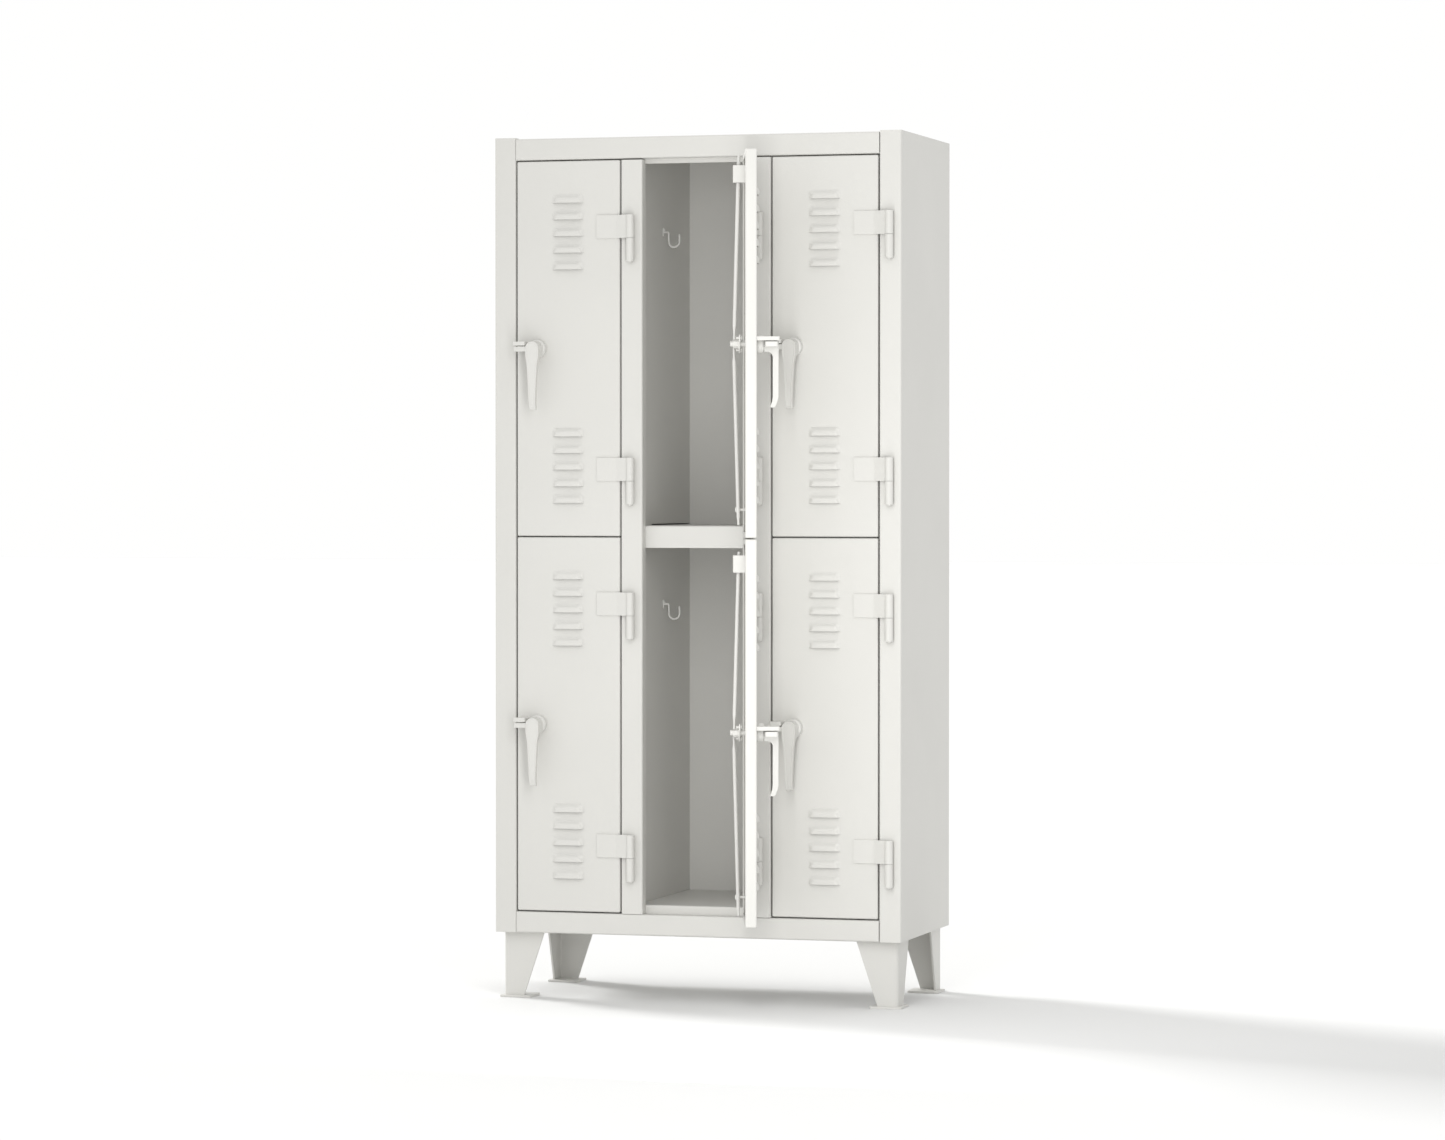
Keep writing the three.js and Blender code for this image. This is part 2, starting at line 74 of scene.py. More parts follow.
bpy.ops.object.camera_add(
    location=(CAMERA_ACROSS, case_low.y - CAMERA_OUT, CAMERA_UP),
    rotation=(math.pi / 2 - CAMERA_DIP, 0.0, CAMERA_YAW))
camera = bpy.context.object
camera.name = "studio_camera"
camera.data.lens = FOCAL_LENGTH
camera.data.sensor_width = SENSOR_WIDTH
camera.data.clip_end = CLIP_END
bpy.context.scene.camera = camera
bpy.context.scene.view_settings.view_transform = "Standard"

surround = bpy.data.worlds.new("white_surround")
bpy.context.scene.world = surround
surround.use_nodes = True
surround.node_tree.nodes["Background"].inputs["Color"].default_value = SURROUND
surround.node_tree.nodes["Background"].inputs["Strength"].default_value = SURROUND_STRENGTH

bpy.ops.object.light_add(type="SUN", rotation=SUN_FROM.to_track_quat("Z", "Y").to_euler())
sun = bpy.context.object
sun.name = "rear_lamp"
sun.data.energy = SUN_STRENGTH
sun.data.angle = SUN_WIDTH
bpy.ops.object.light_add(type="AREA", location=PANEL_PLACE, rotation=(math.pi / 2, 0.0, 0.0))
panel = bpy.context.object
panel.name = "near_panel"
panel.data.shape = "RECTANGLE"
panel.data.size = PANEL_WIDTH
panel.data.size_y = PANEL_HEIGHT
panel.data.energy = PANEL_POWER
panel.visible_camera = False

bpy.ops.object.select_all(action="DESELECT")
bpy.ops.mesh.primitive_plane_add(size=FLOOR_SIZE)
floor = bpy.context.object
floor.name = "studio_floor"


# --- Side panels with their corner posts -----------------------------------
# Heavy sheet steel, each folded round at the front into a square corner post and back again.
# Powder coated warm white, which leaves a fine orange peel on every face.
SHEET = 0.00266
HALF = SHEET / 2
BEND = 0.0045
SEAM = 0.0003
POST_DEPTH = 0.0254
FOLD_STEPS = 6
RIM = 0.0005
FINE_RIM = 0.0004
ENAMEL = (0.618, 0.611, 0.583)
ENAMEL_THIN = (0.596, 0.590, 0.563)
CLOUD_SCALE = 3.5
CLOUD_RANGE = (0.32, 0.72)
CLOUD_SHARE = 0.75
SPECK_SCALE = 420.0
SPECK_RANGE = (0.45, 0.7)
SPECK_SHARE = 0.25
RIPPLE_SCALE = 9.0
RIPPLE_STRENGTH = 0.5
PEEL_STRENGTH = 0.35
GLOSS_CENTRE = 0.05
CLOUD_GLOSS = 0.07
SPECK_GLOSS = 0.04
MERGE_DISTANCE = 0.000002
SNUG = 0.00005
TIGHT = 0.00001


class Signal:
    """A value in a material. Arithmetic on it adds the Math node that does the sum."""

    def __init__(self, finish, socket):
        self.finish = finish
        self.socket = socket

    def sum(self, operation, first, second):
        return self.finish.add("ShaderNodeMath", {"operation": operation}, {0: first, 1: second})

    def __add__(self, other):
        return self.sum("ADD", self, other)

    def __radd__(self, other):
        return self.sum("ADD", other, self)

    def __sub__(self, other):
        return self.sum("SUBTRACT", self, other)

    def __rsub__(self, other):
        return self.sum("SUBTRACT", other, self)

    def __mul__(self, other):
        return self.sum("MULTIPLY", self, other)

    def __rmul__(self, other):
        return self.sum("MULTIPLY", other, self)


class Finish:
    """A material under construction."""

    def __init__(self, name):
        self.material = bpy.data.materials.new(name)
        self.material.use_nodes = True
        self.tree = self.material.node_tree
        self.shader = self.tree.nodes["Principled BSDF"]

    def add(self, kind, settings, inputs, output=0):
        node = self.tree.nodes.new(kind)
        for name, value in settings.items():
            if name == "stops":
                for stop, (place, shade) in zip(node.color_ramp.elements, value):
                    stop.position = place
                    stop.color = (*[shade] * 3, 1.0)
            else:
                setattr(node, name, value)
        self.feed(node, inputs)
        return Signal(self, node.outputs[output])

    def feed(self, node, inputs):
        for name, value in inputs.items():
            if isinstance(value, Signal):
                self.tree.links.new(value.socket, node.inputs[name])
            elif isinstance(value, tuple) and node.inputs[name].type == "RGBA":
                node.inputs[name].default_value = (*value, 1.0)
            else:
                node.inputs[name].default_value = value

    def place(self):
        return self.add("ShaderNodeTexCoord", {}, {}, "Object")

    def noise(self, scale, detail=2.0, roughness=0.5):
        return self.add("ShaderNodeTexNoise", {}, {
            "Vector": self.place(), "Scale": scale, "Detail": detail, "Roughness": roughness})

    def ramp(self, value, low, high):
        return self.add("ShaderNodeValToRGB", {"stops": [(low, 0.0), (high, 1.0)]}, {"Fac": value})

    def blend(self, factor, first, second):
        return self.add("ShaderNodeMix", {"data_type": "RGBA"}, {
            "Factor": factor, 6: first, 7: second}, 2)

    def bump(self, height, strength, distance, under=None):
        inputs = {"Height": height, "Strength": strength, "Distance": distance}
        if under:
            inputs["Normal"] = under
        return self.add("ShaderNodeBump", {}, inputs)


def powder_coat(name, colour, thin_colour, gloss, peel_size, peel_depth, ripple_depth):
    """Powder coat: orange peel over a slow ripple, with a slightly uneven colour and gloss."""
    coat = Finish(name)
    clouds = coat.noise(CLOUD_SCALE, 3.0)
    specks = coat.noise(SPECK_SCALE, 2.0)
    peel = coat.noise(1.0 / peel_size, 2.5, 0.45)
    ripple = coat.noise(RIPPLE_SCALE, 1.0)
    uneven = (coat.ramp(clouds, *CLOUD_RANGE) * CLOUD_SHARE
              + coat.ramp(specks, *SPECK_RANGE) * SPECK_SHARE)
    skin = coat.bump(ripple, RIPPLE_STRENGTH, ripple_depth)
    skin = coat.bump(peel, PEEL_STRENGTH, peel_depth, skin)
    coat.feed(coat.shader, {
        "Base Color": coat.blend(uneven, colour, thin_colour),
        "Roughness": gloss - GLOSS_CENTRE + clouds * CLOUD_GLOSS + specks * SPECK_GLOSS,
        "Normal": skin,
        "Specular IOR Level": 0.35,
        "IOR": 1.48,
    })
    return coat.material


sheet_coat = powder_coat("sheet_powder_coat", ENAMEL, ENAMEL_THIN, gloss=0.44,
                         peel_size=0.0022, peel_depth=0.00012, ripple_depth=0.0009)


def close():
    """Ends the shaping of whichever piece is open."""
    if bpy.context.mode != "OBJECT":
        bpy.ops.object.mode_set(mode="OBJECT")


def only(piece):
    """Selects one piece alone."""
    close()
    bpy.ops.object.select_all(action="DESELECT")
    piece.select_set(True)
    bpy.context.view_layer.objects.active = piece


def start(primitive, name, **place):
    """Adds a primitive in its place and opens it for shaping."""
    close()
    bpy.ops.object.select_all(action="DESELECT")
    primitive(**place)
    piece = bpy.context.object
    piece.name = name
    piece.data.name = name
    bpy.ops.object.transform_apply(location=True, rotation=True, scale=True)
    bpy.ops.object.mode_set(mode="EDIT")
    return piece


def pick(kind, test):
    """Selects the corners, edges or faces of the open piece that pass a test."""
    bpy.ops.mesh.select_mode(type=kind)
    bpy.ops.mesh.select_all(action="DESELECT")
    shape = bmesh.from_edit_mesh(bpy.context.object.data)
    parts = {"VERT": shape.verts, "EDGE": shape.edges, "FACE": shape.faces}[kind]
    for part in parts:
        if test(part):
            part.select_set(True)
    shape.select_flush_mode()
    bmesh.update_edit_mesh(bpy.context.object.data)


def middle(part):
    """The middle of an edge or face."""
    return sum((corner.co for corner in part.verts), Vector()) / len(part.verts)


def near(value, wanted, slack=0.0001):
    return abs(value - wanted) < slack


def extrude(way):
    bpy.ops.mesh.extrude_region_move(TRANSFORM_OT_translate={"value": way})


def squeeze(scale, centre):
    bpy.ops.transform.resize(value=scale, center_override=centre)


def round_edges(width, steps, profile=0.5):
    bpy.ops.mesh.bevel(offset=width, segments=steps, profile=profile, affect="EDGES")


def apply_all(piece):
    only(piece)
    for modifier in list(piece.modifiers):
        bpy.ops.object.modifier_apply(modifier=modifier.name)


def clean(piece):
    """Merges corners that lie on each other and turns every face outwards."""
    only(piece)
    bpy.ops.object.mode_set(mode="EDIT")
    bpy.ops.mesh.select_all(action="SELECT")
    bpy.ops.mesh.remove_doubles(threshold=MERGE_DISTANCE)
    bpy.ops.mesh.normals_make_consistent(inside=False)
    close()


def thicken(piece, thickness=SHEET, offset=0.0):
    """Gives a folded sheet its thickness."""
    clean(piece)
    wall = piece.modifiers.new("Wall", "SOLIDIFY")
    wall.thickness = thickness
    wall.offset = offset
    wall.use_even_offset = True
    apply_all(piece)


def soften(piece, width=RIM, steps=2, angle=math.radians(40)):
    """Rounds the sharp rims a little and smooths the shading."""
    clean(piece)
    if width:
        rims = piece.modifiers.new("Rims", "BEVEL")
        rims.width = width
        rims.segments = steps
        rims.limit_method = "ANGLE"
        rims.angle_limit = angle
        apply_all(piece)
    only(piece)
    bpy.ops.object.shade_smooth_by_angle(angle=angle)
    shading = piece.modifiers.new("Shading", "WEIGHTED_NORMAL")
    shading.keep_sharp = True
    apply_all(piece)


def cut(piece, *tools):
    """Takes the tools' shapes out of the piece."""
    combine(piece, "DIFFERENCE", tools)


def weld(piece, *others, crossing=False):
    """Makes one body of the piece and the others, even where the piece crosses itself."""
    combine(piece, "UNION", others, crossing)


def combine(piece, operation, others, crossing=False):
    close()
    for other in others:
        step = piece.modifiers.new("Step", "BOOLEAN")
        step.operation = operation
        step.solver = "EXACT"
        step.use_self = crossing
        step.object = other
    apply_all(piece)
    for other in others:
        bpy.data.objects.remove(other)


def block(name, low, high):
    """A plain block between two corners, left open for shaping."""
    low, high = Vector(low), Vector(high)
    return start(bpy.ops.mesh.primitive_cube_add, name, size=1.0,
                 location=(low + high) / 2, scale=high - low)


def rod_between(name, low, high, radius, sides=24, along="z"):
    """A round bar along one axis, left open for shaping."""
    low, high = Vector(low), Vector(high)
    turns = {"x": (0.0, math.pi / 2, 0.0), "y": (math.pi / 2, 0.0, 0.0), "z": (0.0, 0.0, 0.0)}
    return start(bpy.ops.mesh.primitive_cylinder_add, name, vertices=sides, radius=radius,
                 depth=(high - low).length, location=(low + high) / 2, rotation=turns[along])


def folded(name, corners, run, radius=BEND - HALF):
    """A sheet folded along parallel lines, left open. The corners follow the metal's middle."""
    corners = [Vector(corner) for corner in corners]
    piece = start(bpy.ops.mesh.primitive_plane_add, name, size=SHEET, location=corners[0])
    bpy.ops.mesh.select_mode(type="VERT")
    bpy.ops.mesh.merge(type="CENTER")
    for here, there in zip(corners, corners[1:]):
        extrude(there - here)
    bpy.ops.mesh.select_all(action="SELECT")
    extrude(run)
    pick("EDGE", lambda edge: len(edge.link_faces) == 2)
    if radius:
        round_edges(radius, FOLD_STEPS)
    return piece


def hand_over(piece, node, body, material):
    """The piece takes its finish and its place on the moving frame."""
    piece.data.materials.clear()
    piece.data.materials.append(material)
    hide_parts(node)
    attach(piece, body)


for side, inward in (("left", 1), ("right", -1)):
    low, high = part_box(f"{side}_side_panel")
    skin = (low.x if inward > 0 else high.x) + inward * HALF
    post = (high.x if inward > 0 else low.x) - inward * HALF
    side_sheet = folded(f"{side}_side_sheet", [
        (skin, high.y, low.z), (skin, low.y + HALF, low.z),
        (post, low.y + HALF, low.z), (post, low.y + POST_DEPTH, low.z),
    ], (0.0, 0.0, high.z - low.z))
    thicken(side_sheet)
    soften(side_sheet)
    hand_over(side_sheet, f"{side}_side_panel", "root", sheet_coat)


# --- Divider posts ----------------------------------------------------------
# Two channels folded from the same sheet as the corner posts, open at the back. They stand
# between the bottom rail and the header, and are welded to both.
for side in ("left", "right"):
    low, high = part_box(f"{side}_divider_post")
    divider = folded(f"{side}_divider_channel", [
        (low.x + HALF, high.y, low.z), (low.x + HALF, low.y + HALF, low.z),
        (high.x - HALF, low.y + HALF, low.z), (high.x - HALF, high.y, low.z),
    ], (0.0, 0.0, high.z - low.z))
    thicken(divider)
    soften(divider)
    hand_over(divider, f"{side}_divider_post", "root", sheet_coat)


# --- Roof and header rail ---------------------------------------------------
# One sheet makes the roof, the header rail over the doors and the strip that the door tops
# close against. Behind the posts it widens to meet the side panels.
HEADER_HEIGHT = 0.0496
STOP_SETBACK = 0.027
STOP_DROP = 0.011

front = case_low.y
post_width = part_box("left_side_panel")[1].x - case_low.x
bay = case_high.x - post_width - 2 * SEAM
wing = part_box("top_panel")[1].x
slot_edge = bay + 2 * SEAM + SHEET + SEAM
behind_posts = front + POST_DEPTH + SEAM
in_posts = front + SHEET + BEND


def widen(z):
    """Carries a deck sheet out behind the posts and forward inside the corner posts."""
    bpy.ops.mesh.select_all(action="SELECT")
    bpy.ops.mesh.bisect(plane_co=(0.0, behind_posts, 0.0), plane_no=(0.0, 1.0, 0.0))
    for hand in (-1, 1):
        pick("EDGE", lambda edge: near(edge.verts[0].co.x, hand * bay)
             and near(edge.verts[1].co.x, hand * bay)
             and near(middle(edge).z, z) and middle(edge).y > behind_posts)
        extrude((hand * (slot_edge - bay), 0.0, 0.0))
        extrude((hand * (wing - BEND - slot_edge), 0.0, 0.0))
        pick("EDGE", lambda edge: near(edge.verts[0].co.y, behind_posts)
             and near(edge.verts[1].co.y, behind_posts)
             and hand * middle(edge).x > slot_edge)
        extrude((0.0, in_posts - behind_posts, 0.0))
        pick("EDGE", lambda edge: near(edge.verts[0].co.x, hand * (wing - BEND))
             and near(edge.verts[1].co.x, hand * (wing - BEND))
             and middle(edge).y > behind_posts)
        extrude((hand * BEND, 0.0, 0.0))


low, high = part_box("top_panel")
roof_level = high.z - HALF
header_foot = high.z - HEADER_HEIGHT
strip = front + STOP_SETBACK + HALF
roof = folded("roof_and_header", [
    (-bay, high.y, roof_level), (-bay, front + HALF, roof_level),
    (-bay, front + HALF, header_foot + HALF), (-bay, strip, header_foot + HALF),
    (-bay, strip, header_foot - STOP_DROP),
], (2 * bay, 0.0, 0.0))
widen(roof_level)
thicken(roof)
soften(roof)
hand_over(roof, "top_panel", "root", sheet_coat)


# --- Base pan and bottom rail -----------------------------------------------
# The bottom sheet turns up into the rail under the doors, in the same way as the roof. It is
# welded to the side panels and carries the legs.
low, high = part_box("base_pan")
base_level = low.z + HALF
base = folded("base_and_rail", [
    (-bay, high.y, base_level), (-bay, front + HALF, base_level),
    (-bay, front + HALF, high.z - HALF), (-bay, front + STOP_SETBACK - SEAM, high.z - HALF),
], (2 * bay, 0.0, 0.0))
widen(base_level)
thicken(base)
soften(base)
hand_over(base, "base_pan", "root", sheet_coat)


# --- Compartment floor ------------------------------------------------------
# A raised floor sheet, turned down at the front into the sill that the lower doors close
# against, and turned down again at the back.
low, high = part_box("floor_panel")
sill_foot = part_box("base_pan")[1].z - SHEET
floor_sheet = folded("floor_and_sill", [
    (low.x, high.y - HALF, low.z), (low.x, high.y - HALF, high.z - HALF),
    (low.x, low.y + HALF, high.z - HALF), (low.x, low.y + HALF, sill_foot),
], (high.x - low.x, 0.0, 0.0))
thicken(floor_sheet)
soften(floor_sheet)
hand_over(floor_sheet, "floor_panel", "root", sheet_coat)


# --- Tier shelf -------------------------------------------------------------
# The shelf between the two tiers, with a deep front flange that backs both rows of doors. It
# is slotted where the partitions lap through it.
LAP_DEPTH = 0.150

low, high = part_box("tier_shelf")
shelf_level = high.z
shelf = folded("shelf_and_flange", [
    (low.x, high.y, high.z - HALF), (low.x, low.y + HALF, high.z - HALF),
    (low.x, low.y + HALF, low.z),
], (high.x - low.x, 0.0, 0.0))
thicken(shelf)
for side in ("left", "right"):
    wall_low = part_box(f"{side}_partition")[0]
    slot_tool = block("slot_tool", (wall_low.x - SEAM, wall_low.y - SEAM, high.z - 2 * SHEET),
                      (wall_low.x + SHEET + SEAM, front + LAP_DEPTH + SEAM, high.z + SHEET))
    cut(shelf, slot_tool)
soften(shelf)
hand_over(shelf, "tier_shelf", "root", sheet_coat)


# --- Partitions -------------------------------------------------------------
# Upright sheets between the columns, each with a front flange behind its divider post and a
# slot, open at the back, that laps over the shelf.
SLIT_HEIGHT = 0.003

for side in ("left", "right"):
    low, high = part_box(f"{side}_partition")
    middle_x = low.x + HALF
    wall = folded(f"{side}_partition_sheet", [
        (middle_x, high.y, low.z), (middle_x, low.y + HALF, low.z),
        (high.x, low.y + HALF, low.z),
    ], (0.0, 0.0, high.z - low.z))
    thicken(wall)
    foot = shelf_level - SHEET - SEAM
    cut(wall,
        block("slot_tool", (low.x - SHEET, front + LAP_DEPTH, foot),
              (low.x + 2 * SHEET, high.y + SHEET, shelf_level + SLIT_HEIGHT)),
        block("notch_tool", (low.x + SHEET, front, foot),
              (high.x + SHEET, front + LAP_DEPTH, shelf_level + SEAM)))
    soften(wall)
    hand_over(wall, f"{side}_partition", "root", sheet_coat)


# --- Back panel -------------------------------------------------------------
# A lighter sheet let in between the side panels and held by a row of flat-headed rivets
# along each edge.
BACK_SHEET = 0.0014
RIVET_RADIUS = 0.0055
RIVET_ROUNDING = 0.0009
RIVET_INSET = 0.018
RIVETS_UP = 9
RIVETS_ACROSS = 5

low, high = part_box("back_panel")
back = start(bpy.ops.mesh.primitive_plane_add, "back_sheet", size=1.0,
             location=((low.x + high.x) / 2, low.y + BACK_SHEET / 2, (low.z + high.z) / 2),
             rotation=(math.pi / 2, 0.0, 0.0))
squeeze((high.x - low.x, 1.0, high.z - low.z), (low + high) / 2)
thicken(back, BACK_SHEET)


def rivet(x, z):
    """A flat round head on the outside of the back sheet."""
    head = rod_between("rivet", (x, low.y + BACK_SHEET / 2, z), (x, high.y, z),
                       RIVET_RADIUS, 16, "y")
    pick("EDGE", lambda edge: near(middle(edge).y, high.y, TIGHT)
         and len(edge.link_faces) == 2)
    round_edges(RIVET_ROUNDING, 3)
    close()
    return head


rivets = []
for k in range(RIVETS_UP):
    z = low.z + RIVET_INSET + k * (high.z - low.z - 2 * RIVET_INSET) / (RIVETS_UP - 1)
    rivets += [rivet(low.x + RIVET_INSET, z), rivet(high.x - RIVET_INSET, z)]
for k in range(1, RIVETS_ACROSS):
    x = low.x + RIVET_INSET + k * (high.x - low.x - 2 * RIVET_INSET) / RIVETS_ACROSS
    rivets += [rivet(x, low.z + RIVET_INSET), rivet(x, high.z - RIVET_INSET),
               rivet(x, shelf_level - HALF)]
weld(back, *rivets)
soften(back, 0.0)
hand_over(back, "back_panel", "root", sheet_coat)


# --- Legs -------------------------------------------------------------------
# Four angles of thicker plate, tapering to the foot, each welded to a square foot plate with
# an anchor hole.
LEG_PLATE = 0.00476
LEG_BEND = 0.007
LEG_FOOT_WIDTH = 0.047
LEG_RIM = 0.0008
LEG_OVERHANG = 0.0089
FOOT_SIZE = 0.075
FOOT_THICKNESS = 0.005
FOOT_CORNER = 0.006
FOOT_RIM = 0.0006
ANCHOR_SHARE = 0.42
ANCHOR_RADIUS = 0.007


def angle_leg(name, node, hand, lengthways):
    """A tapered angle, hand being the way in along X and lengthways the way in along Y."""
    low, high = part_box(node)
    corner = Vector((low.x if hand > 0 else high.x, low.y if lengthways > 0 else high.y, low.z))
    out = LEG_OVERHANG + LEG_PLATE / 2
    bend = corner + Vector((hand * out, lengthways * out, 0.0))
    reach = high.x - low.x - out
    angle = folded(name, [
        bend + Vector((hand * reach, 0.0, 0.0)), bend,
        bend + Vector((0.0, lengthways * reach, 0.0)),
    ], (0.0, 0.0, high.z - low.z), LEG_BEND)
    taper = reach - LEG_FOOT_WIDTH + LEG_PLATE / 2
    pick("VERT", lambda point: near(point.co.z, low.z) and near(point.co.x, bend.x + hand * reach))
    bpy.ops.transform.translate(value=(-hand * taper, 0.0, 0.0))
    pick("VERT", lambda point: near(point.co.z, low.z)
         and near(point.co.y, bend.y + lengthways * reach))
    bpy.ops.transform.translate(value=(0.0, -lengthways * taper, 0.0))
    thicken(angle, LEG_PLATE)
    soften(angle, LEG_RIM)
    foot_size = Vector((FOOT_SIZE, FOOT_SIZE, FOOT_THICKNESS))
    foot_middle = corner + Vector((hand * FOOT_SIZE / 2, lengthways * FOOT_SIZE / 2,
                                   FOOT_THICKNESS / 2))
    foot = block("foot", foot_middle - foot_size / 2, foot_middle + foot_size / 2)
    pick("EDGE", lambda edge: near(edge.verts[0].co.x, edge.verts[1].co.x)
         and near(edge.verts[0].co.y, edge.verts[1].co.y))
    round_edges(FOOT_CORNER, 5)
    inset = LEG_OVERHANG + ANCHOR_SHARE * FOOT_SIZE
    anchor = Vector((hand * inset, lengthways * inset, 0.0)) + corner
    tool = rod_between("anchor_tool", anchor - Vector((0.0, 0.0, 2 * FOOT_THICKNESS)),
                       anchor + Vector((0.0, 0.0, 4 * FOOT_THICKNESS)), ANCHOR_RADIUS, 24)
    cut(foot, tool)
    soften(foot, FOOT_RIM)
    only(foot)
    angle.select_set(True)
    bpy.context.view_layer.objects.active = angle
    bpy.ops.object.join()
    return angle


for place, lengthways in (("front", 1), ("rear", -1)):
    for side, hand in (("left", 1), ("right", -1)):
        node = f"{place}_{side}_leg"
        hand_over(angle_leg(f"{place}_{side}_angle", node, hand, lengthways), node,
                  "root", sheet_coat)


# --- Coat hooks -------------------------------------------------------------
# Steel wire bent into a J and welded to a small plate, which one round-headed screw holds to
# the left wall of the compartment. Coated with the rest.
CASTING = (0.622, 0.616, 0.589)
CASTING_THIN = (0.598, 0.593, 0.567)
WIRE = 0.0025
OVERLAP = 0.001
HOOK_PLATE = 0.010
HOOK_PLATE_SHARE = 0.7
HOOK_PLATE_CORNER = 0.002
HOOK_REACH = 0.013
HOOK_ELBOW = 0.004
HOOK_DROP = 0.022
HOOK_BEND = 0.013
HOOK_TIP = 0.015
HOOK_END = ((0.0009, 0.88), (0.0006, 0.6))
SCREW_RADIUS = 0.0035
SCREW_PROUD = 0.0022
SCREW_ROUNDING = 0.0018
COLUMNS = ("left", "middle", "right")
TIERS = ("upper", "lower")

cast_coat = powder_coat("casting_powder_coat", CASTING, CASTING_THIN, gloss=0.40,
                        peel_size=0.0016, peel_depth=0.00016, ripple_depth=0.0005)


def bend_wire(steps, angle, centre):
    """Carries the wire's end round a bend, in even steps."""
    for _ in range(steps):
        bpy.ops.mesh.extrude_region_move()
        bpy.ops.transform.rotate(value=-angle / steps, orient_axis="Y", center_override=centre)


def wire_hook(name, wall, y, z):
    """The hook stands out from a wall at x, its plate's middle at y and z."""
    hook = start(bpy.ops.mesh.primitive_circle_add, name, vertices=14, radius=WIRE,
                 location=(wall + HALF, y, z), rotation=(0.0, math.pi / 2, 0.0),
                 fill_type="NGON")
    extrude((HOOK_REACH - HOOK_ELBOW - HALF, 0.0, 0.0))
    bend_wire(5, math.pi / 2, (wall + HOOK_REACH - HOOK_ELBOW, y, z - HOOK_ELBOW))
    extrude((0.0, 0.0, HOOK_ELBOW - HOOK_DROP))
    bend_wire(12, -math.pi, (wall + HOOK_REACH + HOOK_BEND, y, z - HOOK_DROP))
    extrude((0.0, 0.0, HOOK_TIP))
    end = Vector((wall + HOOK_REACH + 2 * HOOK_BEND, y, z - HOOK_DROP + HOOK_TIP))
    for rise, share in HOOK_END:
        extrude((0.0, 0.0, rise))
        squeeze((share, share, 1.0), end)
    clean(hook)
    half_width = HOOK_PLATE_SHARE * HOOK_PLATE
    plate = block("plate", (wall + SEAM, y - half_width, z - HOOK_PLATE),
                  (wall + SHEET, y + half_width, z + HOOK_PLATE))
    pick("EDGE", lambda edge: near(edge.verts[0].co.y, edge.verts[1].co.y)
         and near(edge.verts[0].co.z, edge.verts[1].co.z))
    round_edges(HOOK_PLATE_CORNER, 4)
    close()
    screw_z = z + HOOK_PLATE / 2
    screw_face = wall + SHEET + SCREW_PROUD
    screw = rod_between("screw", (wall + SHEET - OVERLAP, y, screw_z), (screw_face, y, screw_z),
                        SCREW_RADIUS, 20, "x")
    pick("EDGE", lambda edge: near(middle(edge).x, screw_face, TIGHT))
    round_edges(SCREW_ROUNDING, 4)
    close()
    weld(hook, plate, screw, crossing=True)
    soften(hook, 0.0)
    return hook


for tier in TIERS:
    for column in COLUMNS:
        node = f"{tier}_{column}_coat_hook"
        low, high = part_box(node)
        hook = wire_hook(f"{tier}_{column}_wire_hook", low.x - SEAM,
                         (low.y + high.y) / 2, high.z - HOOK_PLATE)
        hand_over(hook, node, "root", cast_coat)


# --- Hinge barrels ----------------------------------------------------------
# Turned steel barrels with the pins standing in them, each welded to its post by a short
# web and closed below by a rounded button.
BARREL_RADIUS = 0.0095
BARREL_LENGTH = 0.053
BARREL_STANDOFF = 0.011
KNUCKLE_GAP = 0.0006
PIN_RADIUS = 0.0048
BUTTON = 0.003
BUTTON_INSET = 0.00399
BUTTON_SHARE = 0.86
PIN_END_SHARE = 0.9
PIN_SHORTFALL = 0.0037
WEB_BITE = 0.003
WEB_HALF = 0.004
WEB_FLARE = 1.25
BARREL_RIM = 0.0009

barrel_top = -KNUCKLE_GAP / 2
barrel_foot = barrel_top - BARREL_LENGTH


def flat_at(z):
    """A test for faces that lie level at a height."""
    return lambda face: near(middle(face).z, z, SNUG) and abs(face.normal.z) > 0.9


barrel = rod_between("barrel", (0.0, 0.0, barrel_foot), (0.0, 0.0, barrel_top),
                     BARREL_RADIUS, 32)
pick("FACE", flat_at(barrel_foot))
bpy.ops.mesh.inset(thickness=BUTTON_INSET)
extrude((0.0, 0.0, -BUTTON))
squeeze((BUTTON_SHARE, BUTTON_SHARE, 1.0), (0.0, 0.0, barrel_foot - BUTTON))
pick("FACE", flat_at(barrel_top))
bpy.ops.mesh.inset(thickness=BARREL_RADIUS - PIN_RADIUS)
extrude((0.0, 0.0, BARREL_LENGTH - PIN_SHORTFALL))
squeeze((PIN_END_SHARE, PIN_END_SHARE, 1.0), (0.0, 0.0, 0.0))
close()
web = block("web", (-WEB_HALF, BARREL_RADIUS - WEB_BITE, barrel_foot + WEB_HALF),
            (WEB_HALF, BARREL_STANDOFF - SEAM, barrel_top - WEB_HALF))
pick("EDGE", lambda edge: middle(edge).y > BARREL_RADIUS)
squeeze((WEB_FLARE, 1.0, 1.0), (0.0, 0.0, 0.0))
weld(barrel, web)
soften(barrel, BARREL_RIM, 3)


def joint_row(name):
    return next(row for row in frame["joints"] if row["name"] == name)


def placed(master, name, place, turn=0.0):
    """A copy of a piece with its own mesh, turned about the vertical and put in place."""
    copy = master.copy()
    copy.data = master.data.copy()
    copy.name = name
    copy.data.name = name
    bpy.context.collection.objects.link(copy)
    copy.rotation_euler = (0.0, 0.0, turn)
    copy.location = place
    only(copy)
    bpy.ops.object.transform_apply(location=True, rotation=True, scale=True)
    return copy


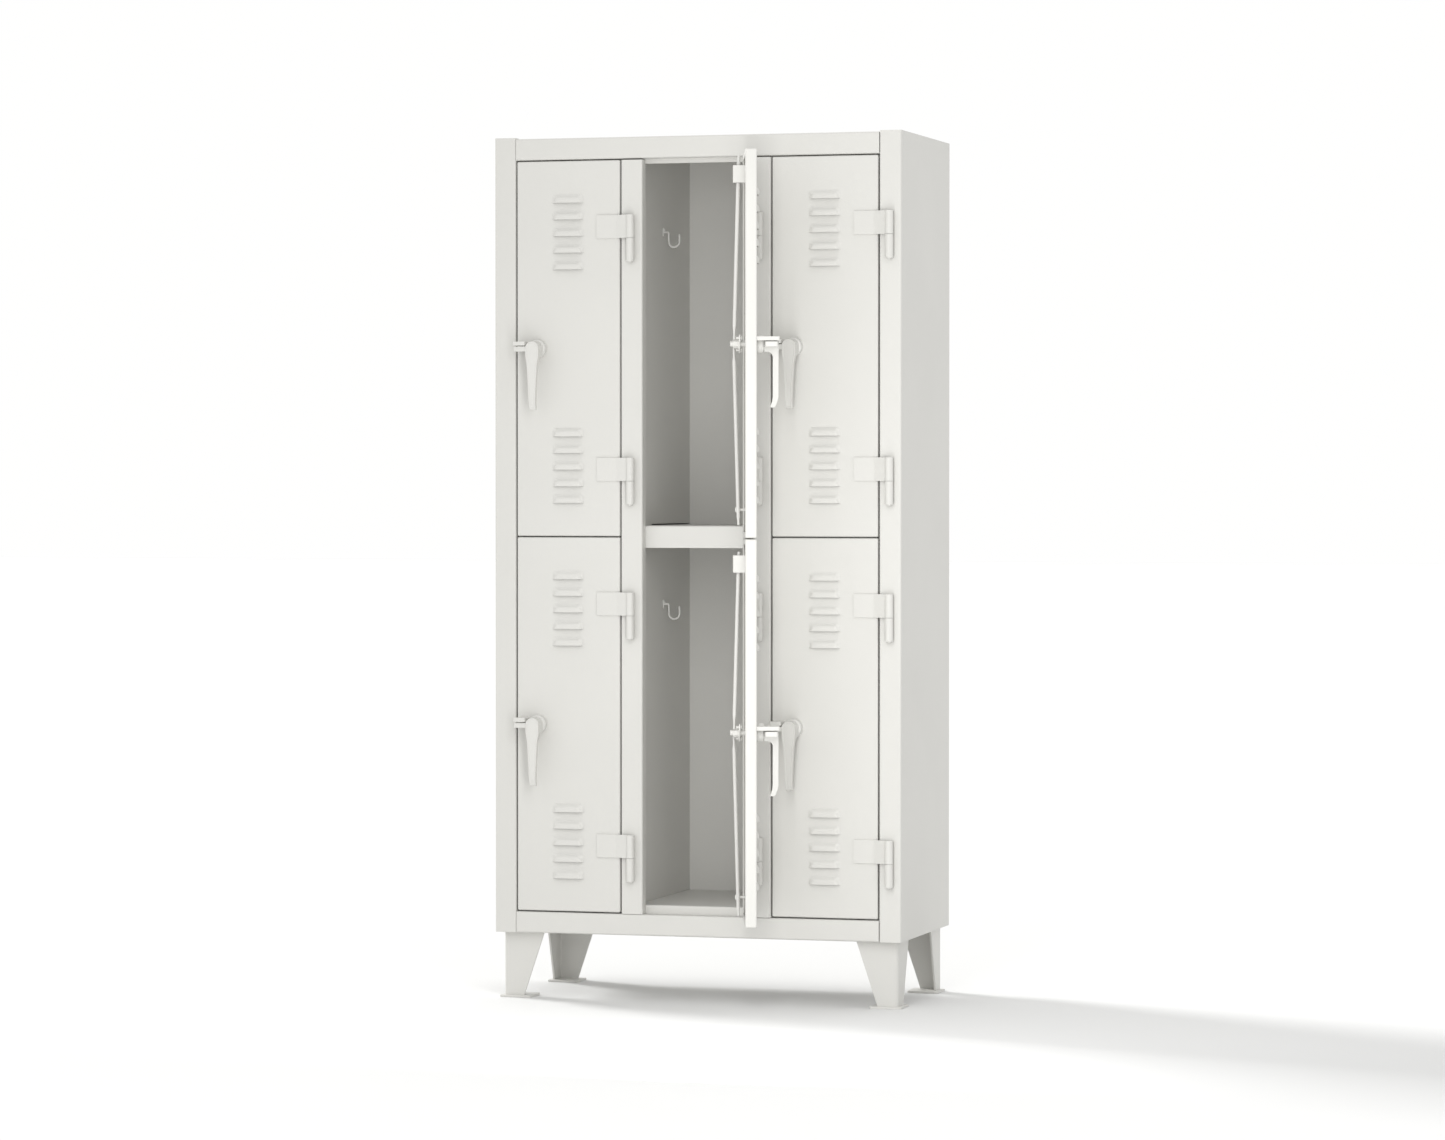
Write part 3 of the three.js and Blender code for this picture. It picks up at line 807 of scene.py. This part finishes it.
doorways = []
for tier in TIERS:
    for column in COLUMNS:
        swing = joint_row(f"{tier}_{column}_door_swing")
        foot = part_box(f"{tier}_{column}_door")[0].z
        doorways.append({
            "name": f"{tier}_{column}",
            "tier": tier,
            "place": Vector((swing["pos_m"][0], swing["pos_m"][1], foot)),
            "turn": -math.radians(swing["range_deg"][0]),
        })

for doorway in doorways:
    for level in ("upper", "lower"):
        node = f"{doorway['name']}_{level}_hinge_pin"
        place = Vector((doorway["place"].x, doorway["place"].y,
                        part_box(node)[0].z + BUTTON - barrel_foot))
        hand_over(placed(barrel, f"{doorway['name']}_{level}_barrel", place), node,
                  "root", sheet_coat)
bpy.data.objects.remove(barrel)


# --- Door pans --------------------------------------------------------------
# Each door is a shallow pan: sheet steel folded back on four sides and turned in to a narrow
# lip. Two groups of five louvres are pressed out of it. Shaped closed, round its hinge axis.
DOOR_DEPTH = 0.0254
DOOR_LIP = 0.012
EDGE_EASE = 0.0005
HINGE_TO_DOOR = 0.0284
LOUVRE_COUNT = 5
LOUVRE_PITCH = 0.0381
LOUVRE_WIDTH = 0.076
LOUVRE_HEIGHT = 0.020
LOUVRE_PROUD = 0.008
LOUVRE_MARGIN = 0.076
LOUVRE_SHEET = 0.0016
LOUVRE_FLANK = 0.007
LOUVRE_LIP_SHARE = 0.52
LOUVRE_BROW_SHARE = 0.8
LOUVRE_ROUNDING = 0.0038
SLOT_HALF = 0.42 * LOUVRE_WIDTH
SLOT_RISE = 0.001
SLOT_TOP = 0.55 * LOUVRE_HEIGHT

low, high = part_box("upper_left_door")
door_height = high.z - low.z
face = BARREL_STANDOFF
door_near = -HINGE_TO_DOOR
door_far = low.x - doorways[0]["place"].x
door_middle = (door_near + door_far) / 2


def bonnet(z):
    """One pressed louvre: open below, sloping back into the door's face above and beside."""
    back = face + HALF
    crest = face - LOUVRE_PROUD + LOUVRE_SHEET / 2
    brow = z + LOUVRE_LIP_SHARE * LOUVRE_HEIGHT
    shape = block("louvre", (door_middle - LOUVRE_WIDTH / 2, crest, z),
                  (door_middle + LOUVRE_WIDTH / 2, back, z + LOUVRE_HEIGHT))
    pick("FACE", lambda part: part.normal.y < -0.9)
    squeeze((1.0 - 2 * LOUVRE_FLANK / LOUVRE_WIDTH, 1.0, LOUVRE_LIP_SHARE),
            (door_middle, crest, z))
    pick("EDGE", lambda edge: near(middle(edge).y, crest) and near(middle(edge).z, brow))
    squeeze((LOUVRE_BROW_SHARE, 1.0, 1.0), (door_middle, crest, brow))
    pick("FACE", lambda part: part.normal.y > 0.9 or part.normal.z < -0.9)
    bpy.ops.mesh.delete(type="FACE")
    pick("EDGE", lambda edge: len(edge.link_faces) == 2)
    round_edges(LOUVRE_ROUNDING, 5)
    thicken(shape, LOUVRE_SHEET)
    return shape


def louvre_levels():
    top = door_height - LOUVRE_MARGIN - LOUVRE_HEIGHT
    rising = [LOUVRE_MARGIN + k * LOUVRE_PITCH for k in range(LOUVRE_COUNT)]
    return rising + [top - k * LOUVRE_PITCH for k in range(LOUVRE_COUNT)]


pan = block("pan", (door_far + HALF + EDGE_EASE, face + HALF, HALF),
            (door_near - HALF, face + DOOR_DEPTH - HALF, door_height - HALF))
pick("FACE", lambda part: part.normal.y > 0.9)
bpy.ops.mesh.inset(thickness=DOOR_LIP - HALF)
bpy.ops.mesh.delete(type="FACE")
pick("EDGE", lambda edge: len(edge.link_faces) == 2
     and abs(edge.link_faces[0].normal.dot(edge.link_faces[1].normal)) < 0.5)
round_edges(BEND - HALF - OVERLAP, 4)
thicken(pan)
soften(pan, FINE_RIM)
slots = [block("slot", (door_middle - SLOT_HALF, face - SHEET, z + SLOT_RISE),
               (door_middle + SLOT_HALF, face + 2 * SHEET, z + SLOT_TOP))
         for z in louvre_levels()]
cut(pan, *slots)
weld(pan, *[bonnet(z) for z in louvre_levels()])
soften(pan, 0.0)

for doorway in doorways:
    name = doorway["name"]
    hand_over(placed(pan, f"{name}_pan", doorway["place"], doorway["turn"]),
              f"{name}_door", f"{name}_door", sheet_coat)
bpy.data.objects.remove(pan)


# --- Hinge leaves -----------------------------------------------------------
# Flat plates welded to the door's face, which ramp out to bored knuckles that stand on the
# barrels.
LEAF = 0.0035
LEAF_REACH = 0.055
LEAF_RAMP = 0.027
HINGE_INSET = 0.1524
LEAF_FOLD = 0.004
LEAF_BITE = 0.002
LEAF_RIM = 0.0007
BORE_RADIUS = 0.0052
BORE_FLOOR = 0.003

leaf_foot = KNUCKLE_GAP / 2
leaf = folded("leaf", [
    (door_near - LEAF_REACH, face - LEAF / 2, leaf_foot),
    (-BARREL_RADIUS - LEAF_RAMP, face - LEAF / 2, leaf_foot),
    (LEAF_BITE - BARREL_RADIUS, 0.0, leaf_foot),
], (0.0, 0.0, BARREL_LENGTH), LEAF_FOLD)
thicken(leaf, LEAF)
knuckle = rod_between("knuckle", (0.0, 0.0, leaf_foot), (0.0, 0.0, leaf_foot + BARREL_LENGTH),
                      BARREL_RADIUS, 32)
pick("FACE", flat_at(leaf_foot))
bpy.ops.mesh.inset(thickness=BARREL_RADIUS - BORE_RADIUS)
extrude((0.0, 0.0, BARREL_LENGTH - BORE_FLOOR))
clean(knuckle)
weld(leaf, knuckle)
soften(leaf, LEAF_RIM, 3)

for doorway in doorways:
    name = doorway["name"]
    for level, centre in (("upper", door_height - HINGE_INSET), ("lower", HINGE_INSET)):
        place = doorway["place"] + Vector((0.0, 0.0, centre - BARREL_LENGTH / 2))
        hand_over(placed(leaf, f"{name}_{level}_leaf", place, doorway["turn"]),
                  f"{name}_door", f"{name}_door", sheet_coat)
bpy.data.objects.remove(leaf)


# --- Padlock castings -------------------------------------------------------
# A round boss cast in one with the fixed padlock tab, bolted through the door behind the
# handle. The spindle turns in its bore.
HANDLE_INSET = 0.052
HANDLE_PROUD = 0.049
HEAD_RADIUS = 0.0155
BOSS_RADIUS = 0.021
BOSS_PROUD = 0.017
TAB_REACH = 0.045
TAB_THICKNESS = 0.009
TAB_PROUD = 0.002
TAB_SHOULDER = 0.0015
CAST_ROUNDING = 0.004
CAST_RIM = 0.0009
PADLOCK_RADIUS = 0.005
PADLOCK_SETBACK = 0.013
BORE = 0.0066
TOOL_FRONT = 0.05
TOOL_REACH = 0.02

boss_face = -BOSS_PROUD
tab_outer = -HANDLE_PROUD - TAB_PROUD
lock_x = door_far + HANDLE_INSET
lock_place = Vector((lock_x, face, door_height / 2))
padlock_x = 2 * PADLOCK_RADIUS - TAB_REACH
padlock_y = tab_outer + PADLOCK_SETBACK


def padlock_tool():
    return rod_between("padlock_tool", (padlock_x, padlock_y, -TOOL_REACH),
                       (padlock_x, padlock_y, TOOL_REACH), PADLOCK_RADIUS, 24)


boss = rod_between("boss", (0.0, boss_face, 0.0), (0.0, OVERLAP, 0.0), BOSS_RADIUS, 48, "y")
pick("EDGE", lambda edge: near(middle(edge).y, boss_face, SNUG)
     and near(edge.verts[0].co.y, edge.verts[1].co.y))
round_edges(CAST_ROUNDING, 4)
close()
tab = block("tab", (-TAB_REACH, boss_face, HEAD_RADIUS - TAB_THICKNESS),
            (0.0, OVERLAP, HEAD_RADIUS))
bpy.ops.mesh.select_all(action="SELECT")
bpy.ops.mesh.bisect(plane_co=(-HEAD_RADIUS - TAB_SHOULDER, 0.0, 0.0),
                    plane_no=(1.0, 0.0, 0.0))
pick("FACE", lambda part: part.normal.y < -0.9 and middle(part).x < -HEAD_RADIUS)
extrude((0.0, tab_outer - boss_face, 0.0))
pick("EDGE", lambda edge: near(edge.verts[0].co.x, edge.verts[1].co.x)
     and near(edge.verts[0].co.y, edge.verts[1].co.y)
     and middle(edge).y < boss_face - OVERLAP)
round_edges(CAST_ROUNDING, 4)
cut(tab, padlock_tool())
soften(tab, CAST_RIM, 3)
bore_tool = rod_between("bore_tool", (0.0, -TOOL_FRONT, 0.0), (0.0, TOOL_REACH, 0.0),
                        BORE, 32, "y")
weld(boss, tab)
cut(boss, bore_tool)
soften(boss, 0.0)

for doorway in doorways:
    name = doorway["name"]
    at = doorway["place"] + Matrix.Rotation(doorway["turn"], 3, "Z") @ lock_place
    doorway["lock"] = at
    hand_over(placed(boss, f"{name}_padlock_casting", at, doorway["turn"]),
              f"{name}_door", f"{name}_door", cast_coat)
bpy.data.objects.remove(boss)


# --- Rod guides -------------------------------------------------------------
# Inside each door a hat-shaped bracket keeps the upper rod against the pan, and a bolt with
# a round head keeps the lower one in line.
ROD_OFFSET = 0.0155
GUIDE_HEIGHT = 0.038
GUIDE_WIDTH = 0.022
GUIDE_FOOT = 0.009
GUIDE_INSET = 0.074
GUIDE_DEPTH = 0.052
GUIDE_FOLD = 0.0024
PIN_INSET = 0.062
PIN_SETBACK = 0.009
GUIDE_PIN = 0.003
HEAD_SHARE = 1.9
HEAD_HEIGHT = 0.0035
HEAD_ROUNDING = 0.0018
FLAT_NUT = 0.0058
FLAT_NUT_HEIGHT = 0.005
ROD_RADIUS = 0.004

inner_face = face + SHEET
guide_x = lock_x - ROD_OFFSET
guide_half = GUIDE_WIDTH / 2
guide_foot = door_height - GUIDE_INSET
guide = folded("guide", [
    (guide_x + hand * across, level, guide_foot) for hand, across, level in (
        (-1, guide_half + GUIDE_FOOT, inner_face + HALF),
        (-1, guide_half - HALF, inner_face + HALF),
        (-1, guide_half - HALF, face + GUIDE_DEPTH - HALF),
        (1, guide_half - HALF, face + GUIDE_DEPTH - HALF),
        (1, guide_half - HALF, inner_face + HALF),
        (1, guide_half + GUIDE_FOOT, inner_face + HALF))
], (0.0, 0.0, GUIDE_HEIGHT), GUIDE_FOLD)
thicken(guide)
soften(guide)

bolt_x = lock_x + ROD_OFFSET + ROD_RADIUS + 2 * GUIDE_PIN
bolt_head = face + GUIDE_DEPTH - PIN_SETBACK
bolt_end = bolt_head + HEAD_HEIGHT
bolt = rod_between("bolt", (bolt_x, inner_face - OVERLAP, PIN_INSET),
                   (bolt_x, bolt_head, PIN_INSET), GUIDE_PIN, 20, "y")
bolt_middle = (bolt_x, bolt_head, PIN_INSET)
pick("FACE", lambda part: part.normal.y > 0.9)
bpy.ops.mesh.extrude_region_move()
squeeze((HEAD_SHARE, 1.0, HEAD_SHARE), bolt_middle)
extrude((0.0, HEAD_HEIGHT, 0.0))
pick("EDGE", lambda edge: near(middle(edge).y, bolt_end, SNUG))
round_edges(HEAD_ROUNDING, 4)
close()
nut = rod_between("nut", (bolt_x, inner_face, PIN_INSET),
                  (bolt_x, inner_face + FLAT_NUT_HEIGHT, PIN_INSET), FLAT_NUT, 6, "y")
weld(bolt, nut)
soften(bolt)

for doorway in doorways:
    name = doorway["name"]
    for master, label in ((guide, "rod_guide"), (bolt, "guide_bolt")):
        hand_over(placed(master, f"{name}_{label}", doorway["place"], doorway["turn"]),
                  f"{name}_door", f"{name}_door", sheet_coat)
bpy.data.objects.remove(guide)
bpy.data.objects.remove(bolt)


# --- Handles ----------------------------------------------------------------
# A cast lever that hangs from a round head, with a raised border, a tip that curls back to
# the door, and the moving padlock tab beside the head.
LEVER_LENGTH = 0.141
LEVER_THICKNESS = 0.0125
LEVER_NECK = 0.018
LEVER_RIM = 0.0010
LEVER_SHARPNESS = math.radians(34)
NECK_ROUNDING = 0.012
TIP_ROUNDING = 0.0028
BORDER = 0.0024
BORDER_SLOPE = 0.0007
BORDER_DEPTH = 0.0009
ROOT_GAP = 0.0004
OWN_TAB_BACK = 0.0008
TAB_GAP = 0.0025
OWN_TAB = 0.011

outer = -HANDLE_PROUD
inner = outer + LEVER_THICKNESS
root = boss_face - ROOT_GAP
tip = -LEVER_LENGTH
# Each step down the lever: its level, its share of the width, and the curl in front and behind.
LEVER_STEPS = (
    (-0.040, 0.76, 0.0, 0.0), (-0.082, 0.60, 0.0, 0.0), (tip + 0.024, 0.50, 0.0, 0.0),
    (tip + 0.014, 0.475, 0.0022, 0.0012), (tip + 0.006, 0.46, 0.0052, 0.0038),
    (tip, 0.42, 0.0080, 0.0062),
)

lever = block("lever", (-HEAD_RADIUS, outer, -LEVER_NECK), (HEAD_RADIUS, inner, HEAD_RADIUS))
pick("FACE", lambda part: part.normal.y > 0.9)
extrude((0.0, root - inner, 0.0))
pick("FACE", lambda part: part.normal.z < -0.9 and middle(part).y < inner)
wide = 1.0
level = -LEVER_NECK
front_shift = 0.0
back_shift = 0.0
for next_level, share, front_curl, back_curl in LEVER_STEPS:
    extrude((0.0, 0.0, next_level - level))
    squeeze((share / wide, 1.0, 1.0), (0.0, 0.0, next_level))
    pick("EDGE", lambda edge: near(edge.verts[0].co.z, next_level)
         and near(edge.verts[1].co.z, next_level)
         and near(middle(edge).y, outer + front_shift) and near(
             edge.verts[0].co.y, edge.verts[1].co.y))
    bpy.ops.transform.translate(value=(0.0, front_curl - front_shift, 0.0))
    pick("EDGE", lambda edge: near(edge.verts[0].co.z, next_level)
         and near(edge.verts[1].co.z, next_level)
         and near(middle(edge).y, inner + back_shift) and near(
             edge.verts[0].co.y, edge.verts[1].co.y))
    bpy.ops.transform.translate(value=(0.0, back_curl - back_shift, 0.0))
    pick("FACE", lambda part: all(near(point.co.z, next_level) for point in part.verts))
    wide, level, front_shift, back_shift = share, next_level, front_curl, back_curl
pick("EDGE", lambda edge: near(edge.verts[0].co.z, HEAD_RADIUS)
     and near(edge.verts[1].co.z, HEAD_RADIUS) and near(abs(middle(edge).x), HEAD_RADIUS))
round_edges(HEAD_RADIUS * 0.96, 9)
pick("EDGE", lambda edge: near(middle(edge).z, -LEVER_NECK) and near(middle(edge).y, inner)
     and near(edge.verts[0].co.y, edge.verts[1].co.y) and near(middle(edge).x, 0.0))
round_edges(NECK_ROUNDING, 6)
pick("EDGE", lambda edge: near(edge.verts[0].co.z, tip) and near(edge.verts[1].co.z, tip)
     and near(middle(edge).x, 0.0))
round_edges(TIP_ROUNDING, 3)
pick("FACE", lambda part: part.normal.y < -0.8)
bpy.ops.mesh.inset(thickness=BORDER, depth=0.0)
bpy.ops.mesh.inset(thickness=BORDER_SLOPE, depth=-BORDER_DEPTH)

own_top = HEAD_RADIUS - TAB_THICKNESS - TAB_GAP
own = block("own_tab", (-TAB_REACH, outer + TAB_PROUD, own_top - OWN_TAB),
            (OVERLAP, root - OWN_TAB_BACK, own_top))
pick("EDGE", lambda edge: near(edge.verts[0].co.x, edge.verts[1].co.x)
     and near(edge.verts[0].co.y, edge.verts[1].co.y) and middle(edge).x < -OWN_TAB)
round_edges(CAST_ROUNDING, 4)
cut(own, padlock_tool())
weld(lever, own)
soften(lever, LEVER_RIM, 3, LEVER_SHARPNESS)

for doorway in doorways:
    name = doorway["name"]
    hand_over(placed(lever, f"{name}_lever", doorway["lock"], doorway["turn"]),
              f"{name}_handle", f"{name}_handle", cast_coat)
bpy.data.objects.remove(lever)


# --- Spindles and crank plates ----------------------------------------------
# Behind the door the spindle carries a stepped plate with a stud for each rod, and a nut on
# its threaded end.
SPINDLE = 0.006
CRANK_SETBACK = 0.036
CRANK_PLATE = 0.003
CRANK_CORNER = 0.0035
CRANK_OFFSET = 0.014
STUD_RADIUS = 0.003
STUD_END = 0.0452
STUD_SETBACK = 0.002
STUD_HEAD_SHARE = 1.8
STUD_HEAD = 0.0022
STUD_RIM = 0.0006
NUT_RADIUS = 0.010
NUT_START = 0.0405
NUT_END = 0.052
HUB_END = 0.058
NUT_RIM = 0.0009
WASHER = 0.0115
WASHER_BITE = 0.0002
SPINDLE_DISH = 0.0005
CRANK_OUTLINE = (
    (0.026, -0.020), (0.026, -0.006), (0.006, 0.012), (-0.006, 0.020),
    (-0.026, 0.020), (-0.026, 0.006), (-0.006, -0.012), (0.006, -0.020),
)

spindle = rod_between("spindle", (0.0, root - OVERLAP, 0.0), (0.0, HUB_END, 0.0),
                      SPINDLE, 28, "y")
pick("FACE", lambda part: part.normal.y > 0.9)
bpy.ops.mesh.inset(thickness=OVERLAP, depth=0.0)
bpy.ops.transform.translate(value=(0.0, -SPINDLE_DISH, 0.0))
close()
nut = rod_between("nut", (0.0, NUT_START, 0.0), (0.0, NUT_END, 0.0), NUT_RADIUS, 6, "y")
pick("EDGE", lambda edge: near(edge.verts[0].co.y, edge.verts[1].co.y))
round_edges(NUT_RIM, 2)
close()
washer = rod_between("washer", (0.0, CRANK_SETBACK + CRANK_PLATE - WASHER_BITE, 0.0),
                     (0.0, NUT_START + WASHER_BITE, 0.0), WASHER, 32, "y")
weld(spindle, nut, washer)
soften(spindle, FINE_RIM)

plate = start(bpy.ops.mesh.primitive_plane_add, "crank", size=SHEET,
              location=(CRANK_OUTLINE[0][0], CRANK_SETBACK, CRANK_OUTLINE[0][1]))
bpy.ops.mesh.select_mode(type="VERT")
bpy.ops.mesh.merge(type="CENTER")
for here, there in zip(CRANK_OUTLINE, CRANK_OUTLINE[1:]):
    extrude((there[0] - here[0], 0.0, there[1] - here[1]))
bpy.ops.mesh.select_all(action="SELECT")
bpy.ops.mesh.edge_face_add()
bpy.ops.mesh.select_all(action="SELECT")
extrude((0.0, CRANK_PLATE, 0.0))
clean(plate)
bpy.ops.object.mode_set(mode="EDIT")
pick("EDGE", lambda edge: not near(edge.verts[0].co.y, edge.verts[1].co.y))
round_edges(CRANK_CORNER, 4)
soften(plate, FINE_RIM)
studs = []
for hand in (-1, 1):
    stud_x = hand * CRANK_OFFSET
    stud_z = -hand * (CRANK_OFFSET - OVERLAP)
    stud_foot = (stud_x, CRANK_SETBACK - STUD_SETBACK, stud_z)
    stud = rod_between("stud", stud_foot, (stud_x, STUD_END, stud_z), STUD_RADIUS, 20, "y")
    pick("FACE", lambda part: part.normal.y < -0.9)
    bpy.ops.mesh.extrude_region_move()
    squeeze((STUD_HEAD_SHARE, 1.0, STUD_HEAD_SHARE), stud_foot)
    extrude((0.0, -STUD_HEAD, 0.0))
    soften(stud, STUD_RIM, 3)
    studs.append(stud)
weld(plate, *studs)
soften(plate, 0.0)

for doorway in doorways:
    name = doorway["name"]
    for master, label in ((spindle, "spindle"), (plate, "crank_plate")):
        hand_over(placed(master, f"{name}_{label}", doorway["lock"], doorway["turn"]),
                  f"{name}_handle", f"{name}_handle", sheet_coat)
bpy.data.objects.remove(spindle)
bpy.data.objects.remove(plate)


# --- Latch rods -------------------------------------------------------------
# Round steel bar, flattened where it meets the crank and turned down to a thinner round tip.
# The rods lean towards the door at their far ends.
ROD = (0.580, 0.575, 0.550)
ROD_THIN = (0.552, 0.548, 0.525)
ROD_SETBACK = 0.0495
ROD_TIP_SETBACK = 0.039
ROD_END_GAP = 0.009
ROD_TAPER = 0.012
ROD_EYE = 0.018
EYE_RUNOUT = 0.012
EYE_SHAPE = (1.3, 0.62, 1.0)
TAPER_RUNOUT = 0.006
TIP_SHAPE = (0.7, 0.7, 1.0)
ROD_RIM = 0.0011

rod_coat = powder_coat("rod_powder_coat", ROD, ROD_THIN, gloss=0.46,
                       peel_size=0.0015, peel_depth=0.0001, ripple_depth=0.0004)


def latch_rod(x, first, last):
    """A rod from its crank end to its tip, both heights taken from the handle's axis."""
    way = 1 if last > first else -1
    length = abs(last - first)
    bar = rod_between("rod", (x, ROD_SETBACK, min(first, last)),
                      (x, ROD_SETBACK, max(first, last)), ROD_RADIUS, 20)
    for distance in (ROD_EYE, ROD_EYE + EYE_RUNOUT, length - ROD_TAPER - TAPER_RUNOUT,
                     length - ROD_TAPER):
        bpy.ops.mesh.select_all(action="SELECT")
        bpy.ops.mesh.bisect(plane_co=(0.0, 0.0, first + way * distance), plane_no=(0.0, 0.0, 1.0))
    pick("VERT", lambda point: way * (point.co.z - first) < ROD_EYE + SEAM / 2)
    squeeze(EYE_SHAPE, (x, ROD_SETBACK, 0.0))
    pick("VERT", lambda point: way * (point.co.z - first) > length - ROD_TAPER - SEAM / 2)
    squeeze(TIP_SHAPE, (x, ROD_SETBACK, 0.0))
    # Every level moves towards the door in proportion to its distance along the rod.
    shape = bmesh.from_edit_mesh(bar.data)
    levels = sorted({round(point.co.z, 6) for point in shape.verts})
    for here in levels:
        pick("VERT", lambda point: near(point.co.z, here, TIGHT))
        lean = (ROD_TIP_SETBACK - ROD_SETBACK) * abs(here - first) / length
        bpy.ops.transform.translate(value=(0.0, lean, 0.0))
    soften(bar, ROD_RIM, 3)
    return bar


for tier in TIERS:
    sample = next(doorway for doorway in doorways if doorway["tier"] == tier)
    height = sample["place"].z + lock_place.z
    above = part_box(f"{sample['name']}_upper_rod")[1].z - height
    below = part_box(f"{sample['name']}_lower_rod")[0].z - height
    for label, x, first, last in (("upper_rod", -ROD_OFFSET, ROD_END_GAP, above),
                                  ("lower_rod", ROD_OFFSET, -ROD_END_GAP, below)):
        bar = latch_rod(x, first, last)
        for doorway in doorways:
            if doorway["tier"] != tier:
                continue
            name = doorway["name"]
            hand_over(placed(bar, f"{name}_{label}_bar", doorway["lock"], doorway["turn"]),
                      f"{name}_{label}", f"{name}_{label}", rod_coat)
        bpy.data.objects.remove(bar)


# --- Floor finish -----------------------------------------------------------
# The studio floor is plain, near white and barely mottled.
FLOOR_PAINT = (0.738, 0.738, 0.733)
FLOOR_WORN = (0.724, 0.724, 0.719)
MOTTLE_SCALE = 0.7

paint = Finish("floor_paint")
mottle = paint.noise(MOTTLE_SCALE, 2.0)
paint.feed(paint.shader, {
    "Base Color": paint.blend(mottle, FLOOR_PAINT, FLOOR_WORN),
    "Roughness": 0.75 + mottle * 0.1,
    "Specular IOR Level": 0.1,
})
floor.data.materials.append(paint.material)
